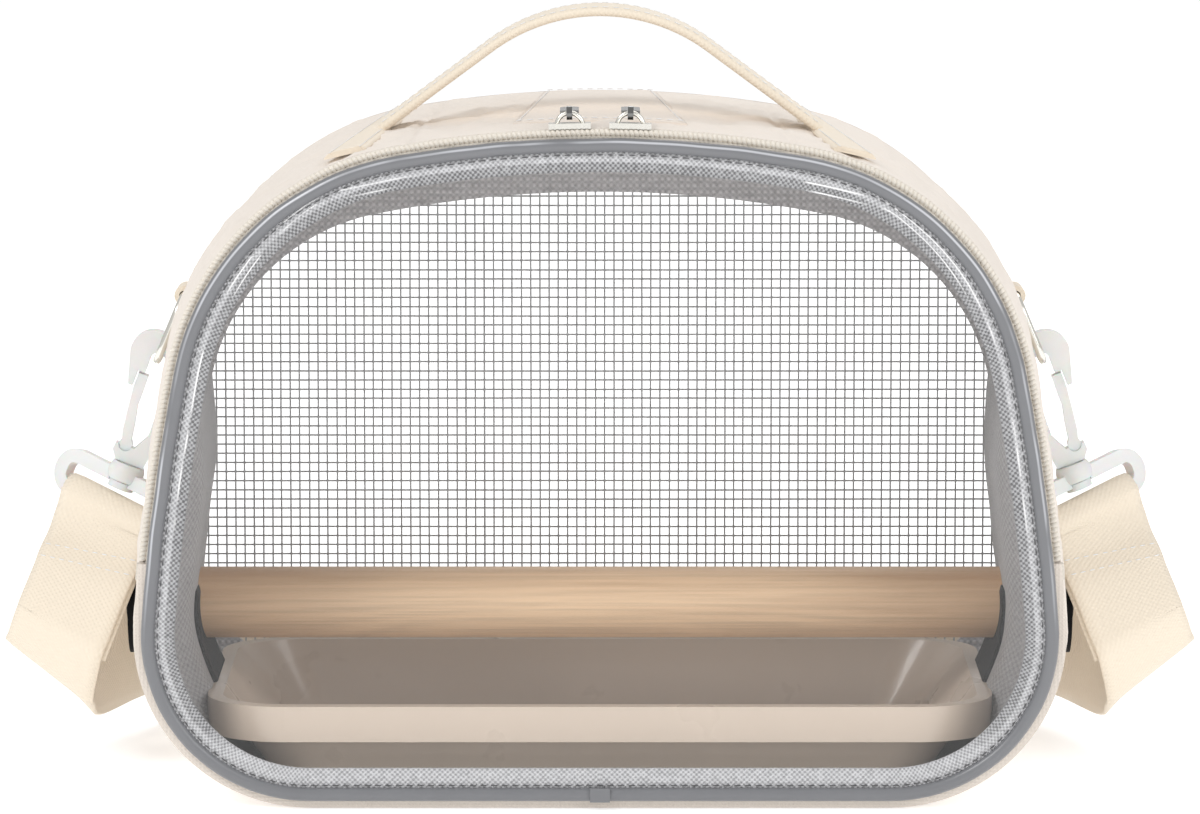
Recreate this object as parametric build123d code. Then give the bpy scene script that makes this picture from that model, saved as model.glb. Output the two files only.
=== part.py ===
"""Bird travel carrier: a D-shaped fabric cabin with a zipped clear front, a mesh back,
a wooden perch, a floor tray, a webbing handle and a clip-on shoulder strap.

Units are millimetres, +Z is up and the front faces -Y.  The origin is the middle of the
base, on the surface that the carrier stands on.
"""
from build123d import *
import math
import os

# ---------------------------------------------------------------- clearances
CLEAR = 0.3          # between pieces of different moving bodies
FIT = 0.05           # radial play of a shaft in its hole

# ---------------------------------------------------------------- cabin outline
CABIN_HEIGHT = 219.0     # top of the gusset above the table
CABIN_WIDTH = 303.8      # across the side arcs, at their centre height
CABIN_DEPTH = 160.0      # front face of the piping to the rear panel
TOP_RADIUS = 375.0
SHOULDER_RADIUS = 90.2
SIDE_RADIUS = 719.7
SIDE_CENTRE_HEIGHT = 2.7
CORNER_RADIUS = 56.3

# ---------------------------------------------------------------- gusset and panels
GUSSET_WALL = 3.0
LINING_WALL = 1.0
BOARD_THICKNESS = 2.0
BOARD_MARGIN = 6.0       # board edge to the lining
DENT_RADIUS = 30.0       # hollow that each strap loop presses into the soft side
DENT_DEPTH = 11.8
DENT_HEIGHT = 93.0
DENT_Y = -8.0
REAR_PANEL_THICKNESS = 1.6
REAR_SEAM = 1.0          # rear panel edge inside the gusset's outer face
MESH_THICKNESS = 0.6
MESH_OVERLAP = 5.0       # mesh sewn under the rear panel
MESH_COLUMNS = 11        # openings of its plain grid
MESH_ROWS = 7
MESH_BAR = 2.0
REAR_BINDING_THICKNESS = 1.0

# ---------------------------------------------------------------- mesh window in the rear
MESH_TOP = 184.2
MESH_BOTTOM = 16.0
MESH_SIDE_BORDER = 13.6  # the opening's side arcs inside the cabin's
MESH_TOP_RADIUS = 390.0
MESH_SHOULDER_RADIUS = 72.0
MESH_SIDE_RADIUS = 700.0
MESH_SIDE_CENTRE_HEIGHT = 40.0
MESH_CORNER_RADIUS = 46.0

# ---------------------------------------------------------------- front panel
PIPING_INSET = 2.6       # piping's outer edge inside the gusset's outer face
PIPING_WIDTH = 4.5
PIPING_DEPTH = 4.0
PIPING_ROUND = 1.6
BINDING_WIDTH = 6.3
BINDING_THICKNESS = 1.0
WINDOW_THICKNESS = 0.5
WINDOW_SETBACK = 1.2     # window behind the piping's front face
FOLD_HEIGHT = 79.5       # line where the zip ends and the front folds down
DOOR_OPEN = 115.0        # degrees
SLEEVE_WIDTH = 6.4       # sleeve over the piping's joint
SLEEVE_WALL = 0.5

# ---------------------------------------------------------------- zip
COIL_WIDTH = 2.2         # across the zip
COIL_DEPTH = 1.4         # each half, front to back
COIL_GAP = 1.3           # between the halves
TAPE_THICKNESS = 0.6
ZIP_STOP_LENGTH = 5.0
SLIDER_LENGTH = 13.4
SLIDER_PLATE = 1.7
SLIDER_FOOT = 1.1
SLIDER_WEB = 0.7
SLIDER_DISTANCE = 9.6    # slider's middle from the middle of the top
BAIL_RADIUS = 4.2
BAIL_WIRE = 0.75
BAIL_SINK = 1.0          # centre of the bail's arc under the top of the slider
PULL_PLAY = 0.25
PULL_LENGTH = 17.0
PULL_WIDTH = 6.0
PULL_THICKNESS = 1.2

# ---------------------------------------------------------------- perch and tray
PERCH_DIAMETER = 23.6
PERCH_HEIGHT = 54.7
KNOB_SHANK_RADIUS = 3.0
KNOB_NECK_RADIUS = 8.0
KNOB_DISC_RADIUS = 16.7
KNOB_DISC_THICKNESS = 2.3
KNOB_DISC_STANDOFF = 4.0     # disc's inner face from the gusset
KNOB_DOME_RADIUS = 10.0
KNOB_DOME_HEIGHT = 1.5
INSERT_RADIUS = 5.0
INSERT_LENGTH = 16.0
WALL_PATCH_WIDTH = 46.0
WALL_PATCH_BOTTOM = 20.0
WALL_PATCH_TOP = 62.0
WALL_PATCH_THICKNESS = 1.2
TRAY_END_GAP = 3.2       # foot of the tray's skirt to the lining, at each end
TRAY_FLOOR_GAP = 1.9     # end of its floor to the lining
TRAY_FRONT_GAP = 3.1     # its rim to the front edge of the gusset
TRAY_REAR_GAP = 11.1     # its rim to the rear panel
TRAY_HEIGHT = 25.3
TRAY_WALL = 1.8
TRAY_CORNER_RADIUS = 26.0
TRAY_RIM_WIDTH = 3.2
TRAY_SKIRT_HEIGHT = 11.5
TRAY_SKIRT_GAP = 1.4
TRAY_SIDE_DRAFT = 6.0    # how far the floor's long edges lie inside the rim

# ---------------------------------------------------------------- handle
HANDLE_WIDTH = 25.0
HANDLE_THICKNESS = 3.3
HANDLE_TOP = 253.5
HANDLE_ARC_RADIUS = 62.0
HANDLE_LEG_ANGLE = 36.5  # legs below the horizontal, in degrees
HANDLE_HINGE_RISE = 8.2  # fold line above the gusset's top
HANDLE_FOLD = 55.0       # degrees each way
HANDLE_STRIP_INNER = 5.0     # cross strip over each foot, from the foot inwards
HANDLE_STRIP_OUTER = 10.0    # and outwards
HANDLE_STRIP_THICKNESS = 1.4
HANDLE_STRIP_MARGIN = 8.0    # its ends from the zip's slider and from the rear edge
PATCH_THICKNESS = 0.8
PATCH_FRONT_WIDTH = 56.0
PATCH_REAR_WIDTH = 38.0
PATCH_FRONT_MARGIN = 24.0    # from the zip's slider
PATCH_REAR_MARGIN = 8.0

# ---------------------------------------------------------------- shoulder strap hardware
RING_WIRE_RADIUS = 1.3
RING_WIDTH = 26.0        # inside
RING_CORNER = 5.0
RING_BAR_HEIGHT = 158.0
RING_APEX_INSET = 6.0    # its lower run inside the cabin's widest point
RING_APEX_Z = 136.8
TAB_WIDTH = 14.0
TAB_THICKNESS = 1.6
TAB_LENGTH = 24.0
HOOK_TILT = 21.2         # degrees, top leaning towards the cabin
HUB_STANDOFF = 5.3       # hub's middle from the cabin's widest point
HUB_Z = 98.3
HOOK_THICKNESS = 5.6
HOOK_ROUND = 1.2
EYE_U = 3.4              # centre of the crook's inner arc, across and along the stem
EYE_W = 39.1
EYE_RADIUS = 2.5
CROOK_U = 5.5            # centre of its outer arc
CROOK_W = 40.7
CROOK_RADIUS = 7.75
HUB_RADIUS = 6.0
COLLAR_HALF_HEIGHT = 3.0
STEM_RADIUS = 2.5
STEM_HEAD_RADIUS = 4.4
STEM_HEAD_LENGTH = 2.4
GATE_PIVOT_U = 3.4
GATE_PIVOT_W = 9.0
GATE_KNUCKLE = 2.2
GATE_THICKNESS = 4.6
GATE_OPEN = 9.0          # degrees
STRAP_YAW = 32.0         # degrees, outer end of the loop to the rear
STRAP_WIDTH = 38.0
STRAP_THICKNESS = 2.4
LOOP_WIDTH = 41.8        # inside
LOOP_ARM = 5.0
LOOP_THICKNESS = 4.6
LOOP_BAR_W = -13.0       # bar's centre along the stem
LOOP_TOP_W = 0.4
STRAP_RUN_HEIGHT = 29.5  # middle of the webbing behind the cabin
ADJUSTER_X = 45.0
ADJUSTER_LENGTH = 27.0
ADJUSTER_HEIGHT = 44.0
ADJUSTER_THICKNESS = 2.2
ADJUSTER_SIDE_BAR = 5.0
STRAP_SLACK = 9.0        # webbing behind the rear panel


# ================================================================ helpers
def polar(centre, radius, angle):
    """Point at a radius and an angle in degrees from a centre."""
    a = math.radians(angle)
    return (centre[0] + radius * math.cos(a), centre[1] + radius * math.sin(a))


def bearing(start, end):
    """Angle in degrees of the line from start to end."""
    return math.degrees(math.atan2(end[1] - start[1], end[0] - start[0]))


def circles_meet(centre_a, radius_a, centre_b, radius_b):
    """The right-hand, upper point at both distances from the two centres."""
    dx, dz = centre_b[0] - centre_a[0], centre_b[1] - centre_a[1]
    apart = math.hypot(dx, dz)
    along = (apart**2 + radius_a**2 - radius_b**2) / (2 * apart)
    across = math.sqrt(radius_a**2 - along**2)
    mid = (centre_a[0] + along * dx / apart, centre_a[1] + along * dz / apart)
    points = [
        (mid[0] + sign * across * dz / apart, mid[1] - sign * across * dx / apart)
        for sign in (1, -1)
    ]
    return max(points)


class Outline:
    """A D of tangent arcs: top, two shoulders, two sides, two corners and a flat bottom."""

    def __init__(self, width, top, bottom, top_r, shoulder_r, side_r, side_z, corner_r):
        self.bottom = bottom
        self.radii = (top_r, shoulder_r, side_r, corner_r)
        self.c_top = (0.0, top - top_r)
        self.c_side = (width / 2 - side_r, side_z)
        self.c_shoulder = circles_meet(
            self.c_top, top_r - shoulder_r, self.c_side, side_r - shoulder_r
        )
        corner_z = bottom + corner_r
        reach = math.sqrt((side_r - corner_r) ** 2 - (corner_z - side_z) ** 2)
        self.c_corner = (self.c_side[0] + reach, corner_z)
        self.top_end = bearing(self.c_top, self.c_shoulder)
        self.side_start = bearing(self.c_side, self.c_shoulder)
        self.side_end = bearing(self.c_side, self.c_corner)

    def face(self, inset):
        """The outline moved inwards, as a face in the XZ plane."""
        top_r, shoulder_r, side_r, corner_r = (r - inset for r in self.radii)
        spans = [
            (self.c_top, top_r, 90.0, self.top_end),
            (self.c_shoulder, shoulder_r, self.top_end, self.side_start),
            (self.c_side, side_r, self.side_start, self.side_end),
            (self.c_corner, corner_r, self.side_end, -90.0),
        ]
        edges = []
        for centre, radius, start, end in spans:
            points = [polar(centre, radius, a) for a in (start, (start + end) / 2, end)]
            edges.append(ThreePointArc(*points))
            edges.append(ThreePointArc(*[(-x, z) for x, z in points]))
        foot = polar(self.c_corner, corner_r, -90.0)
        edges.append(Line(foot, (-foot[0], foot[1])))
        return make_face(edges)

    def half_width(self, height, inset=0.0):
        """Half the width at a height on the side arcs or the corner arcs."""
        centre, radius = self.c_side, self.radii[2] - inset
        if height < polar(centre, radius, self.side_end)[1]:
            centre, radius = self.c_corner, self.radii[3] - inset
        return centre[0] + math.sqrt(radius**2 - (height - centre[1]) ** 2)

    def top_height(self, x, inset=0.0):
        """Height of the top arc at a distance from the middle."""
        return self.c_top[1] + math.sqrt((self.radii[0] - inset) ** 2 - x**2)


cabin = Outline(
    CABIN_WIDTH, CABIN_HEIGHT, 0.0, TOP_RADIUS, SHOULDER_RADIUS,
    SIDE_RADIUS, SIDE_CENTRE_HEIGHT, CORNER_RADIUS,
)
mesh_window = Outline(
    CABIN_WIDTH - 2 * MESH_SIDE_BORDER, MESH_TOP, MESH_BOTTOM, MESH_TOP_RADIUS,
    MESH_SHOULDER_RADIUS, MESH_SIDE_RADIUS, MESH_SIDE_CENTRE_HEIGHT, MESH_CORNER_RADIUS,
)

cabin_side = CABIN_WIDTH / 2
ACROSS = (-CABIN_WIDTH, CABIN_WIDTH)
THROUGH = (-CABIN_DEPTH, CABIN_DEPTH)
Y_FRONT = -CABIN_DEPTH / 2
Y_REAR = CABIN_DEPTH / 2
Y_PIPING_BACK = Y_FRONT + PIPING_DEPTH
Y_DOOR_COIL = Y_PIPING_BACK + CLEAR / 3
Y_DOOR_COIL_BACK = Y_DOOR_COIL + COIL_DEPTH
Y_GUSSET_COIL = Y_DOOR_COIL_BACK + COIL_GAP
Y_GUSSET = Y_GUSSET_COIL + COIL_DEPTH
Y_REAR_PANEL = Y_REAR - REAR_PANEL_THICKNESS
INNER = GUSSET_WALL + LINING_WALL
BOARD_TOP = INNER + BOARD_THICKNESS


def slab(sketch, y_start, y_end):
    """A sketch drawn in X and Z, as a solid between two depths."""
    return extrude(
        Pos(0, y_start, 0) * (Plane.XZ * sketch), amount=y_end - y_start, dir=(0, 1, 0)
    )


def band(shape, inset_out, inset_in, y_start, y_end):
    """A closed ring that follows an outline, between two insets and two depths."""
    return slab(shape.face(inset_out) - shape.face(inset_in), y_start, y_end)


def block(x_range, y_range, z_range):
    """A box from its ranges."""
    size = [end - start for start, end in (x_range, y_range, z_range)]
    middle = [(end + start) / 2 for start, end in (x_range, y_range, z_range)]
    return Pos(*middle) * Box(*size)


def rod(radius, x_start, x_end):
    """Cylinder along X on the perch's axis."""
    return Pos((x_start + x_end) / 2, 0, PERCH_HEIGHT) * Rot(0, 90, 0) * Cylinder(
        radius, abs(x_end - x_start)
    )


def above(solid, height):
    """The part of a solid over a height."""
    return solid & block(ACROSS, THROUGH, (height, height + CABIN_HEIGHT))


def below(solid, height):
    """The part of a solid under a height."""
    return solid & block(ACROSS, THROUGH, (height - CABIN_HEIGHT, height))


def both_sides(solid):
    """A left-hand solid with its right-hand copy."""
    return Compound(children=[*solid.solids(), *mirror(solid, Plane.YZ).solids()])


def save(node, solid):
    """Write one sub-part."""
    solid.label = node
    export_step(solid, os.path.join("parts", node + ".step"))


def save_pair(node, solid):
    """Write a left-hand sub-part and its mirrored right-hand twin."""
    save(node + "_left", solid)
    save(node + "_right", mirror(solid, Plane.YZ))


# ================================================================ cabin
def dent_ball(side, radius):
    """Ball that presses a soft side in where the strap's loop lies."""
    x = cabin.half_width(DENT_HEIGHT) - DENT_DEPTH + DENT_RADIUS
    return Pos(side * x, DENT_Y, DENT_HEIGHT) * Rot(0, 90, 0) * Sphere(radius)


def gusset_layer(inset_out, inset_in):
    """One layer of the gusset, dented at the loops and pierced for the perch screws."""
    layer = band(cabin, inset_out, inset_in, Y_GUSSET, Y_REAR_PANEL)
    room = slab(cabin.face(inset_in), Y_GUSSET, Y_REAR_PANEL)
    for side in (-1, 1):
        hollow = dent_ball(side, DENT_RADIUS + inset_out)
        cap = (room & dent_ball(side, DENT_RADIUS + inset_in)) - hollow
        layer = (layer - hollow) + cap
    return layer - rod(KNOB_SHANK_RADIUS + CLEAR, -CABIN_WIDTH, CABIN_WIDTH)


def gusset_shell():
    """Padded fabric tube round the cabin."""
    return gusset_layer(0, GUSSET_WALL)


def gusset_lining():
    """Woven lining inside the gusset."""
    return gusset_layer(GUSSET_WALL, INNER)


def base_board():
    """Stiffener on the cabin floor, under the tray."""
    half = cabin.c_corner[0]
    return block(
        (-half, half),
        (Y_GUSSET + BOARD_MARGIN, Y_REAR_PANEL - BOARD_MARGIN),
        (INNER, BOARD_TOP),
    )


def rear_panel():
    """Fabric back with the mesh window cut out."""
    return slab(
        cabin.face(REAR_SEAM) - mesh_window.face(0), Y_REAR_PANEL, Y_REAR
    )


def rear_mesh():
    """Wire mesh sewn behind the rear panel's opening, as a plain grid."""
    y_range = (Y_REAR_PANEL - MESH_THICKNESS, Y_REAR_PANEL)
    sewn = mesh_window.face(-MESH_OVERLAP) & cabin.face(INNER)
    inside = mesh_window.face(MESH_BAR)
    room = slab(inside, *y_range)
    low, high = room.bounding_box().min, room.bounding_box().max
    step_x = (high.X - low.X) / MESH_COLUMNS
    step_z = (high.Z - low.Z) / MESH_ROWS
    bars = [
        block((x - MESH_BAR / 2, x + MESH_BAR / 2), y_range, (low.Z, high.Z))
        for x in (low.X + i * step_x for i in range(1, MESH_COLUMNS))
    ] + [
        block((low.X, high.X), y_range, (z - MESH_BAR / 2, z + MESH_BAR / 2))
        for z in (low.Z + i * step_z for i in range(1, MESH_ROWS))
    ]
    grid = bars[0].fuse(*bars[1:])
    return slab(sewn - inside, *y_range) + (room & grid)


def rear_binding():
    """Woven border on the inside of the rear panel, round the mesh."""
    y_end = Y_REAR_PANEL - MESH_THICKNESS
    return slab(
        cabin.face(INNER) - mesh_window.face(0), y_end - REAR_BINDING_THICKNESS, y_end
    )


# ================================================================ front panel and zip
def piping(part):
    """Vinyl piping round the front panel."""
    ring = band(
        cabin, PIPING_INSET, PIPING_INSET + PIPING_WIDTH, Y_FRONT, Y_PIPING_BACK
    )
    front = ring.edges().filter_by_position(Axis.Y, Y_FRONT - 0.01, Y_FRONT + 0.01)
    return part(fillet(front, PIPING_ROUND))


def binding(part):
    """Woven border under the edge of the clear window."""
    y_start = Y_FRONT + WINDOW_SETBACK + WINDOW_THICKNESS
    outer = PIPING_INSET + PIPING_WIDTH
    return part(
        band(cabin, outer, outer + BINDING_WIDTH, y_start, y_start + BINDING_THICKNESS)
    )


def window(part):
    """Clear vinyl sheet."""
    y_start = Y_FRONT + WINDOW_SETBACK
    return part(
        slab(cabin.face(PIPING_INSET + PIPING_WIDTH), y_start, y_start + WINDOW_THICKNESS)
    )


def door(solid):
    """What folds down: everything over the fold line."""
    return above(solid, FOLD_HEIGHT + CLEAR / 2)


def sill(solid):
    """What stays sewn to the gusset under the fold line."""
    return below(solid, FOLD_HEIGHT - CLEAR / 2)


def door_zip_tape():
    """Tape from the coil's front half to the back of the piping."""
    return door(
        band(cabin, COIL_WIDTH, PIPING_INSET + PIPING_WIDTH,
             Y_PIPING_BACK, Y_PIPING_BACK + TAPE_THICKNESS)
    )


def door_zip_coil():
    """Front half of the zip's coil."""
    return door(band(cabin, 0, COIL_WIDTH, Y_PIPING_BACK, Y_DOOR_COIL_BACK))


def gusset_zip_coil():
    """Rear half of the zip's coil, on the edge of the gusset."""
    return door(band(cabin, 0, COIL_WIDTH, Y_GUSSET_COIL, Y_GUSSET))


def sill_seam():
    """Seam allowance that joins the lower front panel to the gusset."""
    return sill(
        band(cabin, 0, PIPING_INSET + PIPING_WIDTH, Y_PIPING_BACK, Y_GUSSET)
    )


def zip_stops():
    """Stitched ends of the zip, at the fold line."""
    seam = band(cabin, -0.6, 0, Y_DOOR_COIL, Y_GUSSET)
    top = FOLD_HEIGHT - CLEAR / 2
    return below(above(seam, top - ZIP_STOP_LENGTH), top)


def piping_sleeve():
    """Sleeve over the joint of the piping, in the middle of the bottom."""
    x_range = (-SLEEVE_WIDTH / 2, SLEEVE_WIDTH / 2)
    low, high = PIPING_INSET, PIPING_INSET + PIPING_WIDTH
    return block(x_range, (Y_FRONT - SLEEVE_WALL, Y_FRONT), (low, high))


def slider_frame(solid, angle):
    """Turn a slider drawn at the top of the arc to its place on the arc."""
    centre = (0, 0, cabin.c_top[1])
    return solid.rotate(Axis(centre, (0, 1, 0)), angle)


slider_angle = math.degrees(SLIDER_DISTANCE / TOP_RADIUS)
slider_half_angle = math.degrees(SLIDER_LENGTH / 2 / TOP_RADIUS)
slider_travel = 90.0 - cabin.top_end - slider_angle - slider_half_angle
Y_SLIDER = Y_DOOR_COIL_BACK + COIL_GAP / 2
Y_SLIDER_FRONT = Y_DOOR_COIL - 0.2
Y_SLIDER_BACK = Y_GUSSET + 1.6
slider_top = CABIN_HEIGHT + CLEAR + SLIDER_PLATE
bail_axis_z = slider_top - BAIL_SINK


def arc_sector(radius_in, radius_out, y_start, y_end):
    """Piece of a band round the top arc's centre, as long as a slider."""
    centre = cabin.c_top
    start, end = 90.0 - slider_half_angle, 90.0 + slider_half_angle
    outer = [polar(centre, radius_out, a) for a in (start, 90.0, end)]
    inner = [polar(centre, radius_in, a) for a in (end, 90.0, start)]
    edges = [
        ThreePointArc(*outer), Line(outer[2], inner[0]),
        ThreePointArc(*inner), Line(inner[2], outer[0]),
    ]
    return slab(make_face(edges), y_start, y_end)


def zip_slider():
    """Slider body: top plate, web between the coil halves, foot under them, and bail."""
    plate = arc_sector(
        TOP_RADIUS + CLEAR, TOP_RADIUS + CLEAR + SLIDER_PLATE, Y_SLIDER_FRONT, Y_SLIDER_BACK
    )
    foot_top = TOP_RADIUS - COIL_WIDTH - CLEAR
    web = arc_sector(
        foot_top - SLIDER_FOOT, TOP_RADIUS + CLEAR + 0.5,
        Y_SLIDER - SLIDER_WEB / 2, Y_SLIDER + SLIDER_WEB / 2,
    )
    foot = arc_sector(
        foot_top - SLIDER_FOOT, foot_top,
        Y_PIPING_BACK + TAPE_THICKNESS + CLEAR, Y_GUSSET - CLEAR,
    )
    ring = Pos(0, Y_SLIDER, bail_axis_z) * Rot(90, 0, 0) * Torus(BAIL_RADIUS, BAIL_WIRE)
    bail = above(ring, slider_top - 0.4)
    return plate + web + foot + bail


def pull_tab():
    """Pull lying back over the gusset, its eye round the top of the bail."""
    wire_z = bail_axis_z + BAIL_RADIUS
    eye_in = BAIL_WIRE + PULL_PLAY
    half = PULL_WIDTH / 2
    eye = Pos(0, Y_SLIDER, wire_z) * Rot(0, 90, 0) * (
        Cylinder(eye_in + PULL_THICKNESS, BAIL_WIRE * 2.4) - Cylinder(eye_in, PULL_WIDTH)
    )
    low = wire_z - PULL_THICKNESS / 2
    leaf = block(
        (-half, half),
        (Y_SLIDER + eye_in + PULL_THICKNESS / 2, Y_SLIDER + PULL_LENGTH),
        (low, low + PULL_THICKNESS),
    )
    corners = leaf.edges().filter_by(Axis.Z).group_by(Axis.Y)[-1]
    return eye + fillet(corners, half * 0.9)


# ================================================================ perch and tray
wall_x = cabin.half_width(PERCH_HEIGHT)
perch_half = min(
    cabin.half_width(PERCH_HEIGHT + rise, INNER + WALL_PATCH_THICKNESS)
    for rise in (-PERCH_DIAMETER / 2, PERCH_DIAMETER / 2)
) - FIT


def perch():
    """Wooden dowel with a blind hole in each end for its insert."""
    dowel = rod(PERCH_DIAMETER / 2, -perch_half, perch_half)
    for side in (-1, 1):
        dowel -= rod(INSERT_RADIUS, side * (perch_half - INSERT_LENGTH), side * perch_half)
    return dowel


def perch_inserts():
    """Threaded sleeves in the ends of the perch."""
    sleeve = rod(INSERT_RADIUS, -perch_half, -(perch_half - INSERT_LENGTH))
    hole = rod(KNOB_SHANK_RADIUS + FIT, -perch_half, -(perch_half - INSERT_LENGTH + 2))
    return both_sides(sleeve - hole)


def wall_patches():
    """Black patches inside the gusset, where the perch meets it."""
    half = WALL_PATCH_WIDTH / 2
    layer = band(cabin, INNER, INNER + WALL_PATCH_THICKNESS, -half, half)
    patch = layer & block((-CABIN_WIDTH, 0), (-half, half), (WALL_PATCH_BOTTOM, WALL_PATCH_TOP))
    return both_sides(patch - rod(KNOB_SHANK_RADIUS + CLEAR, -CABIN_WIDTH, 0))


def perch_knob():
    """Hand screw through the gusset into the left end of the perch."""
    disc_in = wall_x + KNOB_DISC_STANDOFF
    disc_out = disc_in + KNOB_DISC_THICKNESS
    neck_in = CLEAR + max(
        cabin.half_width(PERCH_HEIGHT + rise * KNOB_NECK_RADIUS) for rise in (-1, 0, 1)
    )
    disc = rod(KNOB_DISC_RADIUS, -disc_in, -disc_out)
    neck = rod(KNOB_NECK_RADIUS, -neck_in, -disc_in - 1)
    shank = rod(KNOB_SHANK_RADIUS, -neck_in - 1, -(perch_half - INSERT_LENGTH + 3))
    ball_radius = (KNOB_DOME_RADIUS**2 + KNOB_DOME_HEIGHT**2) / (2 * KNOB_DOME_HEIGHT)
    peak = disc_out + KNOB_DOME_HEIGHT
    ball = Pos(-(peak - ball_radius), 0, PERCH_HEIGHT) * Sphere(ball_radius)
    dome = ball & rod(KNOB_DOME_RADIUS + 1, -disc_out + 0.5, -peak)
    return disc + neck + shank + dome


tray_floor = BOARD_TOP + CLEAR
tray_width = Y_REAR_PANEL - TRAY_REAR_GAP - Y_GUSSET - TRAY_FRONT_GAP
tray_y = Y_GUSSET + TRAY_FRONT_GAP + tray_width / 2
tray_half = cabin.half_width(tray_floor + TRAY_HEIGHT - TRAY_SKIRT_HEIGHT, INNER) - TRAY_END_GAP
tray_floor_half = cabin.half_width(tray_floor, INNER) - TRAY_FLOOR_GAP
tray_end_draft = tray_half - TRAY_RIM_WIDTH - tray_floor_half
tray_lift = PERCH_HEIGHT - PERCH_DIAMETER / 2 - tray_floor - TRAY_HEIGHT - CLEAR


def tray_outline(end_inset, side_inset):
    """The tray's rounded rectangle, moved inwards at its ends and its sides."""
    return RectangleRounded(
        2 * (tray_half - end_inset), tray_width - 2 * side_inset,
        TRAY_CORNER_RADIUS - side_inset,
    )


def tray_loft(inset, z_start, z_end):
    """Tapered body of the tray, with its walls moved inwards by an inset."""
    sections = []
    for z in (z_start, z_end):
        taper = 1 - z / TRAY_HEIGHT
        ends = TRAY_RIM_WIDTH + inset + tray_end_draft * taper
        sides = TRAY_RIM_WIDTH + inset + TRAY_SIDE_DRAFT * taper
        sections.append(Pos(0, tray_y, tray_floor + z) * tray_outline(ends, sides))
    return loft(sections, ruled=True)


def tray():
    """Droppings tray with a flat rim that turns down into a skirt."""
    body = tray_loft(0, 0, TRAY_HEIGHT) - tray_loft(TRAY_WALL, TRAY_WALL, TRAY_HEIGHT)
    mouth_inset = TRAY_RIM_WIDTH + TRAY_WALL
    edge = tray_outline(0, 0)
    top = tray_floor + TRAY_HEIGHT
    rim = extrude(
        Pos(0, tray_y, top - TRAY_WALL) * (edge - tray_outline(mouth_inset, mouth_inset)),
        TRAY_WALL,
    )
    skirt = extrude(
        Pos(0, tray_y, top - TRAY_SKIRT_HEIGHT) * (edge - tray_outline(TRAY_WALL, TRAY_WALL)),
        TRAY_SKIRT_HEIGHT,
    )
    return body + rim + skirt


# ================================================================ handle
leg_angle = math.radians(HANDLE_LEG_ANGLE)
handle_arc_z = HANDLE_TOP - HANDLE_ARC_RADIUS
arc_end = (
    HANDLE_ARC_RADIUS * math.sin(leg_angle),
    handle_arc_z + HANDLE_ARC_RADIUS * math.cos(leg_angle),
)


def leg_point(run, depth=0.0):
    """Point on the right leg: run along it from the arc, depth in from its outer face."""
    return (
        arc_end[0] + run * math.cos(leg_angle) - depth * math.sin(leg_angle),
        arc_end[1] - run * math.sin(leg_angle) - depth * math.cos(leg_angle),
    )


def leg_run_to(rise):
    """Run along the leg's centre line to a height over the gusset's top."""
    low, high = 0.0, 80.0
    for _ in range(40):
        mid = (low + high) / 2
        x, z = leg_point(mid, HANDLE_THICKNESS / 2)
        if z - cabin.top_height(x) > rise:
            low = mid
        else:
            high = mid
    return low


hinge_run = leg_run_to(HANDLE_HINGE_RISE)
foot_run = leg_run_to(0.0)
hinge_x, handle_hinge_z = leg_point(hinge_run, HANDLE_THICKNESS / 2)
foot_x, foot_z = leg_point(foot_run, HANDLE_THICKNESS / 2)


def handle_band(run):
    """The whole arch in the XZ plane, down to a run along each leg."""
    inner_r = HANDLE_ARC_RADIUS - HANDLE_THICKNESS
    outer = [polar((0, handle_arc_z), HANDLE_ARC_RADIUS, a)
             for a in (90 - HANDLE_LEG_ANGLE, 90, 90 + HANDLE_LEG_ANGLE)]
    inner = [polar((0, handle_arc_z), inner_r, a)
             for a in (90 + HANDLE_LEG_ANGLE, 90, 90 - HANDLE_LEG_ANGLE)]
    right_out, right_in = leg_point(run), leg_point(run, HANDLE_THICKNESS)
    left_out, left_in = [(-x, z) for x, z in (right_out, right_in)]
    edges = [
        ThreePointArc(*outer), Line(outer[2], left_out), Line(left_out, left_in),
        Line(left_in, inner[0]), ThreePointArc(*inner), Line(inner[2], right_in),
        Line(right_in, right_out), Line(right_out, outer[0]),
    ]
    return slab(make_face(edges), -HANDLE_WIDTH / 2, HANDLE_WIDTH / 2)


def roof(sign, gap):
    """Wedge over (+1) or under (-1) the fold, sloped by half the fold each way."""
    half = HANDLE_WIDTH
    drop = half * math.tan(math.radians(HANDLE_FOLD / 2))
    z = handle_hinge_z + sign * gap
    far = z + sign * CABIN_HEIGHT
    outline = Polyline(
        (-half, z + sign * drop), (0, z), (half, z + sign * drop),
        (half, far), (-half, far), close=True,
    )
    face = Plane.YZ * make_face(outline)
    return Pos(-CABIN_WIDTH / 2, 0, 0) * extrude(face, amount=CABIN_WIDTH, dir=(1, 0, 0))


def handle():
    """Webbing arch above its fold lines."""
    return handle_band(foot_run) & roof(1, CLEAR / 2)


def handle_ends():
    """Feet of the handle under the fold lines, and the strips sewn across the gusset."""
    feet = handle_band(foot_run + HANDLE_THICKNESS) & roof(-1, CLEAR / 2)
    feet -= slab(cabin.face(0), Y_FRONT, Y_REAR)
    y_range = (Y_SLIDER_BACK + HANDLE_STRIP_MARGIN, Y_REAR - HANDLE_STRIP_MARGIN)
    strip = band(cabin, -HANDLE_STRIP_THICKNESS, 0, *y_range) & block(
        (foot_x - HANDLE_STRIP_INNER, foot_x + HANDLE_STRIP_OUTER),
        y_range, (CABIN_HEIGHT / 2, CABIN_HEIGHT),
    )
    return Compound(children=(feet + both_sides(strip)).solids())


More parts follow.
